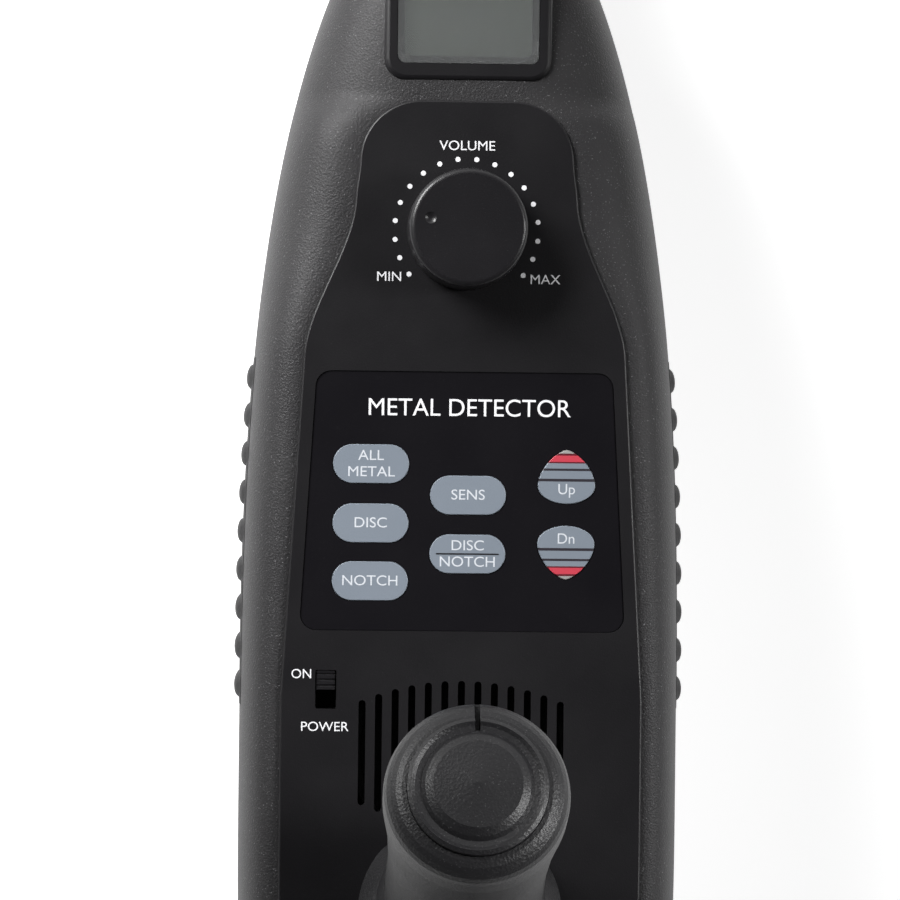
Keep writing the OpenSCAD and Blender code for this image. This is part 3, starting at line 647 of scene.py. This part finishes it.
# %% Display bezel
def make_bezel():
    bm = bmesh.new()
    top = prism(bm, box_outline(0, DISPLAY_Y, *BEZEL), CROWN_Z - 10, PANEL_Z - 0.5)
    round_edges(bm, top, 1.2, 4)
    bezel = finish_mesh(bm, "display_bezel", panel_plastic)
    bm = bmesh.new()
    prism(bm, box_outline(0, DISPLAY_Y, *WINDOW_HOLE), CROWN_Z - 20, PANEL_Z + 2)
    cut(bezel, finish_mesh(bm, "cutter", panel_plastic))
    bm = bmesh.new()
    prism(bm, box_outline(0, DISPLAY_Y, *LENS_RECESS), PANEL_Z - 1.7, PANEL_Z + 2)
    cut(bezel, finish_mesh(bm, "recess", panel_plastic))
    return bezel


display_bezel = make_bezel()
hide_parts("upper_shell")
print("bezel faces:", len(display_bezel.data.polygons))

# %% [markdown]
# Two short sockets leave the housing: one at the nose clamps the shaft, and one at the back
# holds the stem of the arm support. Each is a turned profile, spun round the tube's axis.


# %% Sockets
def spin_along_y(profile, z, name, material, steps=64):
    """Spins a closed profile of (radius, y) points round an axis along Y."""
    bm = bmesh.new()
    verts = [bm.verts.new((r, y, z)) for r, y in profile]
    edges = [bm.edges.new((a, b)) for a, b in zip(verts, verts[1:] + verts[:1])]
    bmesh.ops.spin(bm, geom=verts + edges, cent=(0, 0, z), axis=(0, 1, 0),
                   angle=2 * math.pi, steps=steps, use_merge=True)
    bmesh.ops.remove_doubles(bm, verts=bm.verts, dist=1e-4)
    bmesh.ops.recalc_face_normals(bm, faces=bm.faces)
    return finish_mesh(bm, name, material)


STEM_Z = (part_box("rear_stem")[0].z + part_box("rear_stem")[1].z) / 2 / MM
nose_socket = spin_along_y(
    [(11.05, 76), (15, 76), (15, 98.6), (14.6, 99.6), (13.8, 100), (11.05, 100)],
    SPLIT_Z, "nose_socket", textured_plastic)
stem_socket = spin_along_y(
    [(10.05, -246), (12.0, -246.9), (12.7, -246), (13, -245), (13, -230), (10.05, -230)],
    STEM_Z, "stem_socket", textured_plastic)
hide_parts("upper_shell", "lower_shell")
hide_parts("upper_shell")
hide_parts("lower_shell")
print("stem axis at", round(STEM_Z, 2))

# %% [markdown]
# Openings in the housing's ends and sides are cut after the walls have their thickness: the
# battery bay at the back, the shaft's and stem's bores, the connector and the headphone
# socket.


# %% End openings
def rod_cutter(bm, y0, y1, r, z):
    at = Matrix.Translation((0, (y0 + y1) / 2, z)) @ Matrix.Rotation(math.radians(90), 4, "X")
    bmesh.ops.create_cone(bm, cap_ends=True, segments=48, radius1=r, radius2=r, depth=y1 - y0,
                          matrix=at)


def box_cutter(bm, low, high):
    size = Vector(high) - Vector(low)
    place = Matrix.Translation((Vector(high) + Vector(low)) / 2) @ Matrix.Diagonal((*size, 1))
    bmesh.ops.create_cube(bm, size=1, matrix=place)


def cutter_from(build):
    bm = bmesh.new()
    build(bm)
    return finish_mesh(bm, "cutter", panel_plastic)


def upright_rod(bm, x, y, z0, z1, r):
    bmesh.ops.create_cone(bm, cap_ends=True, segments=40, radius1=r, radius2=r, depth=z1 - z0,
                          matrix=Matrix.Translation((x, y, (z0 + z1) / 2)))


def side_cutter(bm):
    """The headphone socket's recess, in the left side."""
    at = (Matrix.Translation((JACK_X, JACK_Y, JACK_Z))
          @ Matrix.Rotation(math.radians(90), 4, "Y"))
    bmesh.ops.create_cone(bm, cap_ends=True, segments=48, radius1=JACK_RECESS_R,
                          radius2=JACK_RECESS_R, depth=12, matrix=at)


def underside_cutter(bm):
    """Screw holes, the shaft bolt's hole and the four foot recesses."""
    for x, y in SCREW_SPOTS:
        upright_rod(bm, x, y, BASE_Z - 1, BASE_Z + 4, 3.2)
    upright_rod(bm, 0, SHAFT_BOLT_Y, BASE_Z - 1, BASE_Z + 12, 3.7)
    for x, y in FOOT_SPOTS:
        upright_rod(bm, x, y, BASE_Z - 1, BASE_Z + 1.2, FOOT_R)


JACK_X, JACK_RECESS_R = -51, 6.2
JACK_LOW, JACK_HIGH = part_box("headphone_jack")
JACK_Y = ((JACK_LOW.y + JACK_HIGH.y) / 2 - HEAD_Y) / MM
JACK_Z = (JACK_LOW.z + JACK_HIGH.z) / 2 / MM
SCREW_SPOTS = [(33, 5), (-33, 5), (33, -195), (-33, -195)]
FOOT_SPOTS = [(-27, -22), (-27, -178), (27, -22), (27, -178)]
FOOT_R, SHAFT_BORE, STEM_BORE, PLUG_BORE = 6.02, 11.02, 10.02, 6.02
SHAFT_BOLT_Y, PLUG_Z = 72, 21
DOOR_LOW, DOOR_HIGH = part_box("battery_door")
cut(housing_top, cutter_from(lambda bm: rod_cutter(bm, 70, 90, SHAFT_BORE, SPLIT_Z)))
cut(housing_top, cutter_from(lambda bm: rod_cutter(bm, -245, -228, STEM_BORE, STEM_Z)))
cut(housing_base, cutter_from(lambda bm: rod_cutter(bm, 70, 90, SHAFT_BORE, SPLIT_Z)))
cut(housing_base, cutter_from(lambda bm: rod_cutter(bm, 70, 90, PLUG_BORE, PLUG_Z)))
cut(housing_base, cutter_from(lambda bm: box_cutter(
    bm, (-30, REAR_Y - 1, DOOR_LOW.z / MM - 0.2), (30, REAR_Y + 6, DOOR_HIGH.z / MM + 0.2))))
cut(housing_base, cutter_from(side_cutter))
cut(housing_base, cutter_from(underside_cutter))
print("base shell faces:", len(housing_base.data.polygons))

# %% [markdown]
# ## Label, print and keys
#
# The words on the panel are screen-printed, so each is a text curve made into a mesh a few
# hundredths of a millimetre thick. A piece of print rides on whatever it is printed on.


# %% Print
def printed(word, x, y, z, size, material, body, name, stretch=1.0):
    curve = bpy.data.curves.new(name, "FONT")
    curve.body = word
    curve.size = size
    curve.align_x = "CENTER"
    curve.align_y = "CENTER"
    curve.space_line = 1.12
    curve.extrude = PRINT_HALF
    curve.resolution_u = 6
    holder = bpy.data.objects.new(name + "_curve", curve)
    bpy.context.scene.collection.objects.link(holder)
    graph = bpy.context.evaluated_depsgraph_get()
    mesh = bpy.data.meshes.new_from_object(holder.evaluated_get(graph))
    bpy.data.objects.remove(holder)
    bm = bmesh.new()
    bm.from_mesh(mesh)
    bmesh.ops.scale(bm, vec=(stretch, 1, 1), verts=bm.verts)
    bmesh.ops.translate(bm, vec=(x, y, z + PRINT_HALF), verts=bm.verts)
    piece = finish_mesh(bm, name, material)
    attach(piece, body)


PRINT_HALF = 0.012
LABEL_TOP = PANEL_Z - LABEL_SINK + 0.5
KEY_TOP = PANEL_Z - 0.05
printed("VOLUME", 0, 19.2, PANEL_Z, 3.1, white_print, "head", "print_volume", 1.05)
printed("MIN", -17.4, -10.6, PANEL_Z, 3.1, white_print, "head", "print_min", 1.05)
printed("MAX", 17.9, -10.9, PANEL_Z, 3.1, white_print, "head", "print_max", 1.05)
printed("ON", -36.2, -100.6, PANEL_Z, 3.0, white_print, "head", "print_on")
printed("POWER", -30.9, -112.5, PANEL_Z, 3.0, white_print, "head", "print_power", 1.05)
printed("METAL DETECTOR", 1.0, -40.2, LABEL_TOP, 5.6, white_print, "head", "print_title",
        0.98)
print("label top at", round(LABEL_TOP, 2))

# %% [markdown]
# Eighteen dots ring the volume knob, fifteen degrees apart. Each is a small filled circle,
# thin as paint.


# %% Volume dots
def make_dots():
    bm = bmesh.new()
    for i in range(DOTS):
        a = math.radians(DOT_STEP * (i - (DOTS - 1) / 2))
        at = Matrix.Translation(
            (DOT_RING * math.sin(a), DOT_RING * math.cos(a), PANEL_Z + PRINT_HALF))
        bmesh.ops.create_cone(bm, cap_ends=True, segments=20, radius1=DOT_R, radius2=DOT_R,
                              depth=2 * PRINT_HALF, matrix=at)
    dots = finish_mesh(bm, "volume_dots", white_print)
    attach(dots, "head")
    return dots


DOTS, DOT_STEP, DOT_RING, DOT_R = 18, 15, 16.3, 0.58
volume_dots = make_dots()
print("dot faces:", len(volume_dots.data.polygons))

# %% [markdown]
# The keys are blue-grey islands in the black film. Each is a prism of its outline with a
# soft bevelled edge, and its word rides with it, so the two go down together.


# %% Oval keys
def make_key(node, outline, material):
    bm = bmesh.new()
    top = prism(bm, outline, PANEL_Z - 3.3, KEY_TOP)
    round_edges(bm, top, 0.16, 3)
    key = finish_mesh(bm, "cap_of_" + node, material)
    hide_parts(node)
    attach(key, node + "_body")


def make_divider():
    """The printed line between the two words of one key."""
    bm = bmesh.new()
    prism(bm, box_outline(*OVAL_KEYS["key_disc_notch"], 14.2, 0.34, 0.1, 3), KEY_TOP,
          KEY_TOP + 0.02)
    divider = finish_mesh(bm, "print_divider", knob_plastic)
    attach(divider, "key_disc_notch_body")


WORDS = {
    "key_all_metal": "ALL\nMETAL", "key_disc": "DISC", "key_notch": "NOTCH",
    "key_sens": "SENS", "key_disc_notch": "DISC\nNOTCH",
}
for node, at in OVAL_KEYS.items():
    make_key(node, oval_outline(*at, KEY_L, KEY_W), key_print)
    printed(WORDS[node], at[0], at[1], KEY_TOP, 3.3, key_letter, node + "_body",
            "print_" + node, 1.08)
make_divider()
print("oval keys:", list(OVAL_KEYS))

# %% [markdown]
# The two arrow keys are egg-shaped and carry stripes towards their narrow end: a pale tip,
# a red band, then grey bands split by dark lines. The stripes are painted by the material
# with a colour ramp along the key's own length, so their edges stay sharp at any distance.


# %% Arrow keys
def striped_material(name, tip_y, toward):
    """Bands across an arrow key, measured from its narrow tip."""
    material = finish(name, **KEY_FINISH)
    nodes = material.node_tree.nodes
    link = material.node_tree.links.new
    shader = nodes["Principled BSDF"]
    plain = shader.inputs["Base Color"].links[0].from_socket
    place = nodes.new("ShaderNodeTexCoord")
    split = nodes.new("ShaderNodeSeparateXYZ")
    along = nodes.new("ShaderNodeMath")
    along.operation = "MULTIPLY_ADD"
    along.inputs[1].default_value = -toward / (EGG_LENGTH * MM)
    along.inputs[2].default_value = toward * (HEAD_Y + tip_y * MM) / (EGG_LENGTH * MM)
    ramp = nodes.new("ShaderNodeValToRGB")
    ramp.color_ramp.interpolation = "CONSTANT"
    red, dark, edge = (0.60, 0.055, 0.085, 1), (0.030, 0.026, 0.034, 1), (0.12, 0.012, 0.02, 1)
    bands = [(0.0, (0.35, 0.34, 0.33, 1)), (0.06, edge), (0.10, red), (0.215, edge),
             (0.245, (0, 0, 0, 0)), (0.342, dark), (0.385, (0, 0, 0, 0)), (0.532, dark),
             (0.585, (0, 0, 0, 0))]
    stops = ramp.color_ramp.elements
    stops[0].position, stops[0].color = bands[0]
    stops.remove(stops[1])
    for position, colour in bands[1:]:
        stop = stops.new(position)
        stop.color = colour
    paint = nodes.new("ShaderNodeMix")
    paint.data_type = "RGBA"
    link(place.outputs["Object"], split.inputs[0])
    link(split.outputs["Y"], along.inputs[0])
    link(along.outputs[0], ramp.inputs["Fac"])
    link(ramp.outputs["Alpha"], paint.inputs[0])
    link(plain, paint.inputs[6])
    link(ramp.outputs["Color"], paint.inputs[7])
    link(paint.outputs[2], shader.inputs["Base Color"])
    return material


EGG_LENGTH = EGG_NOSE + EGG_TAIL
UP_TIP = UP_AT[1] + EGG_MID + EGG_NOSE
DOWN_TIP = DOWN_AT[1] - EGG_MID - EGG_NOSE
make_key("key_up", egg_outline(*UP_AT, False), striped_material("up_stripes", UP_TIP, 1))
make_key("key_down", egg_outline(*DOWN_AT, True),
         striped_material("down_stripes", DOWN_TIP, -1))
printed("Up", UP_AT[0], UP_AT[1] - 2.9, KEY_TOP, 3.4, key_letter, "key_up_body", "print_up")
printed("Dn", DOWN_AT[0], DOWN_AT[1] + 3.1, KEY_TOP, 3.4, key_letter, "key_down_body", "print_dn")
print("arrow key tips at", round(UP_TIP, 2), round(DOWN_TIP, 2))

# %% [markdown]
# ## Volume knob
#
# The knob is a turned disc: a flat top, a small rounded rim and a straight wall with a hair
# of draft. A spin of its profile gives that, and a shallow dimple near the rim marks where
# it points.


# %% Knob
def make_knob():
    low, high = knob_low.z / MM, knob_high.z / MM
    fillet, draft, chamfer, hollow_r, hollow = 1.35, 0.25, (0.3, 0.8), 9, 4
    profile = [(0, high), (KNOB_R * 0.5, high)]
    profile += reversed(arc(KNOB_R - fillet - draft, high - fillet, fillet, 0, 90, 10))
    profile += [(KNOB_R, low + chamfer[1]), (KNOB_R - chamfer[0], low), (hollow_r, low),
                (hollow_r, low + hollow), (0, low + hollow)]
    bm = bmesh.new()
    verts = [bm.verts.new((r, 0, z)) for r, z in profile]
    edges = [bm.edges.new(pair) for pair in zip(verts, verts[1:])]
    bmesh.ops.spin(bm, geom=verts + edges, cent=(0, 0, 0), axis=(0, 0, 1),
                   angle=2 * math.pi, steps=128, use_merge=True)
    bmesh.ops.remove_doubles(bm, verts=bm.verts, dist=1e-4)
    bmesh.ops.recalc_face_normals(bm, faces=bm.faces)
    knob = finish_mesh(bm, "knob", knob_plastic)
    bm = bmesh.new()
    dimple_r, dimple_depth = 2.2, 0.45
    dimple_at = (-0.63 * KNOB_R, 0.15 * KNOB_R, high + dimple_r - dimple_depth)
    bmesh.ops.create_uvsphere(bm, u_segments=32, v_segments=16, radius=dimple_r,
                              matrix=Matrix.Translation(dimple_at))
    cut(knob, finish_mesh(bm, "dimple", knob_plastic))
    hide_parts("volume_knob")
    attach(knob, "volume")
    return knob


knob = make_knob()
print("knob radius:", round(KNOB_R, 2))

# %% [markdown]
# ## Side grips
#
# A rubber strip is set into each side of the housing, with nine rounded ribs that stand
# proud of it. The outer face is a grid that follows the housing's own curve and rises into
# each rib. The inner face is sunk into the housing, and the two are bridged at the rim.


# %% Ribbed grips
RIBS, RIB_FIRST, RIB_PITCH, RIB_LENGTH, RIB_OUT = 9, -33.0, 8.94, 5.6, 1.2
GRIP_REAR, GRIP_FRONT, GRIP_LOW, GRIP_HIGH = -108.7, -28.7, 30.0, 56.0
GRIP_PROUD, GRIP_SUNK, GRIP_CELLS = 0.1, 1.2, (320, 26)


def housing_side(y, z):
    """Half width of the housing at a height."""
    above = z > SPLIT_Z
    z_end = top_height(y) if above else bottom_height(y)
    flat = crown_width(y) if above else half_width(y) - BASE_CORNER
    rise = min(1.0, (z - SPLIT_Z) / (z_end - SPLIT_Z)) ** (1 / SHOULDER_POWER)
    return flat + (half_width(y) - flat) * math.sqrt(1 - rise * rise) ** SHOULDER_POWER


def rib_height(y, z):
    nearest = min(RIBS - 1, max(0, round((RIB_FIRST - y) / RIB_PITCH)))
    off = (y - (RIB_FIRST - nearest * RIB_PITCH)) / (RIB_LENGTH / 2)
    up = (z - (GRIP_LOW + GRIP_HIGH) / 2) / ((GRIP_HIGH - GRIP_LOW) / 2 - 1)
    return RIB_OUT * math.sqrt(max(0.0, 1 - off * off - up**6))


def two_layers(bm, rows, columns, place):
    """Two facing grids, each point moved to its place, joined along their rims."""
    for layer in (0, 1):
        made = bmesh.ops.create_grid(bm, x_segments=rows, y_segments=columns, size=1)
        for vert in made["verts"]:
            along = round((vert.co.x + 1) / 2 * rows) / rows
            across = round((vert.co.y + 1) / 2 * columns) / columns
            vert.co = place(layer, along, across)
    bmesh.ops.bridge_loops(bm, edges=[e for e in bm.edges if e.is_boundary])
    bmesh.ops.recalc_face_normals(bm, faces=bm.faces)


def make_grip(side, node):
    def place(layer, along, across):
        y = GRIP_REAR + (GRIP_FRONT - GRIP_REAR) * along
        z = GRIP_LOW + (GRIP_HIGH - GRIP_LOW) * across
        out = rib_height(y, z) + GRIP_PROUD if layer == 0 else -GRIP_SUNK
        return side * (housing_side(y, z) + out), y, z

    bm = bmesh.new()
    two_layers(bm, *GRIP_CELLS, place)
    grip = finish_mesh(bm, "ribbed_" + node, rubber)
    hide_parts(node)
    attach(grip, "head")
    return grip


for side, node in ((-1, "side_grip_left"), (1, "side_grip_right")):
    print(node, "faces:", len(make_grip(side, node).data.polygons))

# %% [markdown]
# ## Arm pad
#
# The cup is lined with foam, sewn down along two seams. It lies flat against the cup and is
# crowned on the inside: full between the seams, thin at the seams and rounded at the rim.


# %% Foam pad
CUP_WALL, PAD_GAP, PAD_HALF_ARC = 3.0, 0.3, 72.0
PAD_THIN, PAD_RISE, PAD_AT_SEAM = 0.9, 3.3, 0.35
SEAM_AT, SEAM_W, STITCH, PAD_CELLS = 1 / 3, 0.11, 0.12, (120, 90)


def pad_thickness(y, u, v):
    """Full between the seams, thin at a seam and at the rim; u and v run from -1 to 1."""
    crown = ((1 - v**8) * (1 - u**10)) ** 0.5
    seam = min(1.0, (abs(abs(u) - SEAM_AT) / SEAM_W)) ** 0.6
    stitch = STITCH * math.cos(y * 2.4) * (1 - seam)
    return PAD_THIN + PAD_RISE * crown * (PAD_AT_SEAM + (1 - PAD_AT_SEAM) * seam) + stitch


def make_pad():
    pad_low, pad_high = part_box("arm_pad")
    cup_low, cup_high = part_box("arm_cup")
    outer = (cup_high.x - cup_low.x) / 2 / MM - CUP_WALL - PAD_GAP
    centre_z = cup_low.z / MM + CUP_WALL + PAD_GAP + outer
    y_rear, y_front = (pad_low.y - HEAD_Y) / MM, (pad_high.y - HEAD_Y) / MM

    def place(layer, along, across):
        y = y_rear + (y_front - y_rear) * along
        u, v = 2 * across - 1, 2 * along - 1
        r = outer - (pad_thickness(y, u, v) if layer == 0 else 0)
        a = math.radians(PAD_HALF_ARC * u)
        return r * math.sin(a), y, centre_z - r * math.cos(a)

    bm = bmesh.new()
    two_layers(bm, *PAD_CELLS, place)
    pad = finish_mesh(bm, "foam_pad", foam, 60)
    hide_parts("arm_pad")
    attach(pad, "arm_rest")
    return pad


foam_pad = make_pad()
print("pad faces:", len(foam_pad.data.polygons))

# %% [markdown]
# ## Parts that keep their CAD shape
#
# The handle, the coil, the tubes, nuts, boards and screws are right as they are, so they only
# change material. Their meshes are left alone.

# %% Materials on the CAD parts
KEPT = {
    rubber: ["feet", "coil_washers", "stem_cap"],
    label_film: ["label_overlay"],
    steel: ["shell_screws", "shaft_bolt", "pot_body", "speaker_magnet", "handle_screws",
            "handle_bolts"],
    nickel: ["pot_shaft", "pot_nut", "battery_contacts", "headphone_jack", "jack_nut",
             "coil_connector"],
    knob_plastic: ["power_slider"],
    window: ["display_lens"],
    display_dark: ["display_module"],
    circuit_board: ["key_board", "main_board"],
    dome_film: ["dome_sheet"],
    # The speaker frame and the switch body take the cone's near-black as painted shade, so that
    # the slots stay dark.
    cone_paper_and_slot_shade: ["speaker_cone", "speaker_frame", "switch_body"],
    nylon: ["battery_tray", "lock_collar", "shaft_yoke", "coil_bolt", "coil_nut",
            "coil_gland", "arm_bracket", "clamp_knob"],
    battery_wrap: ["batteries"],
    textured_plastic: ["battery_door"],
    handle_plastic: ["handle_left", "handle_right", "handle_cap"],
    black_tube: ["upper_shaft", "rear_stem"],
    natural_nylon: ["lock_bush"],
    glass_fibre: ["lower_shaft"],
    coil_plastic: ["coil_top", "coil_cover", "arm_cup"],
    copper: ["transmit_winding", "receive_winding"],
}
for material, nodes in KEPT.items():
    for node in nodes:
        assign(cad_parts[node], material)
for piece in (housing_top, control_panel, display_bezel, nose_socket, stem_socket,
              housing_base):
    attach(piece, "head")
print("CAD parts given a material:", sum(len(nodes) for nodes in KEPT.values()))

# %% [markdown]
# ## Light and floor
#
# Black plastic shows its form only by what it reflects. The sky is dark straight overhead,
# so that the panel stays black, and brighter low down, most of all beyond the nose and to
# the left, where the window is. Two soft lights with narrow beams do the rest: one picks
# out the left shoulder and one the top of the handle, and neither washes over the panel.
# The floor glows a little, so that it stays pale under a dim sky.


# %% Stage
def area_light(name, at, size, power, aim, beam):
    data = bpy.data.lights.new(name, "AREA")
    data.size = size
    data.spread = math.radians(beam)
    data.energy = power
    light = bpy.data.objects.new(name, data)
    bpy.context.scene.collection.objects.link(light)
    light.location = at
    light.rotation_euler = (Vector(aim) - Vector(at)).to_track_quat("-Z", "Y").to_euler()
    light.visible_camera = False


def ramp_of(nodes, stops):
    ramp = nodes.new("ShaderNodeValToRGB")
    ramp.color_ramp.interpolation = "EASE"
    elements = ramp.color_ramp.elements
    for element, (position, value) in zip(elements, (stops[0], stops[-1])):
        element.position = position
        element.color = (value, value, value, 1)
    for position, value in stops[1:-1]:
        elements.new(position).color = (value, value, value, 1)
    return ramp


def make_sky():
    """A sky that depends on height above the horizon and on the side."""
    world = bpy.data.worlds.new("studio")
    world.use_nodes = True
    nodes = world.node_tree.nodes
    link = world.node_tree.links.new
    place = nodes.new("ShaderNodeTexCoord")
    split = nodes.new("ShaderNodeSeparateXYZ")
    height = ramp_of(nodes, SKY_BY_HEIGHT)
    toward_window = nodes.new("ShaderNodeVectorMath")
    toward_window.operation = "DOT_PRODUCT"
    toward_window.inputs[1].default_value = WINDOW_SIDE
    centred = nodes.new("ShaderNodeMath")
    centred.operation = "MULTIPLY_ADD"
    centred.inputs[1].default_value = 0.5
    centred.inputs[2].default_value = 0.5
    side = ramp_of(nodes, SKY_BY_SIDE)
    both = nodes.new("ShaderNodeMix")
    both.data_type = "RGBA"
    both.blend_type = "MULTIPLY"
    both.inputs[0].default_value = 1.0
    link(place.outputs["Generated"], split.inputs[0])
    link(split.outputs["Z"], height.inputs["Fac"])
    link(place.outputs["Generated"], toward_window.inputs[0])
    link(toward_window.outputs["Value"], centred.inputs[0])
    link(centred.outputs[0], side.inputs["Fac"])
    link(height.outputs["Color"], both.inputs[6])
    link(side.outputs["Color"], both.inputs[7])
    link(both.outputs[2], nodes["Background"].inputs["Color"])
    nodes["Background"].inputs["Strength"].default_value = SKY_STRENGTH
    bpy.context.scene.world = world


SKY_STRENGTH = 1.2
FLOOR_GLOW = 0.78
WINDOW_SIDE = (-0.35, 0.93, 0.0)
SKY_BY_HEIGHT = [(0.0, 0.50), (0.45, 0.55), (0.80, 0.11), (1.0, 0.02)]
SKY_BY_SIDE = [(0.0, 0.15), (0.5, 0.30), (0.7, 0.55), (1.0, 1.9)]
make_sky()


def make_floor():
    bm = bmesh.new()
    bmesh.ops.create_grid(bm, x_segments=1, y_segments=1, size=6)
    floor_white = finish("floor_white", (0.9, 0.9, 0.9), (0.92, 0.92, 0.92), 0.8, depth=0.0,
                         dust_and_glints=0.0)
    glow = floor_white.node_tree.nodes["Principled BSDF"]
    glow.inputs["Emission Color"].default_value = (1, 1, 1, 1)
    glow.inputs["Emission Strength"].default_value = FLOOR_GLOW
    finish_mesh(bm, "floor", floor_white, headed=False)


make_floor()
shoulder = Vector((-0.045, HEAD_Y + 0.050, 0.065))
cap_low, cap_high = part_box("handle_cap")
area_light("window_light", (-0.36, HEAD_Y + 0.30, 0.36), 0.30, 0.50, shoulder, 45)
area_light("fill_light", (0.42, HEAD_Y - 0.05, 0.46), 0.22, 0.16, (cap_low + cap_high) / 2, 30)
scene = bpy.context.scene
scene.view_settings.view_transform = "Standard"
scene.view_settings.exposure = 0.0
print("lights:", [light.name for light in bpy.data.lights])
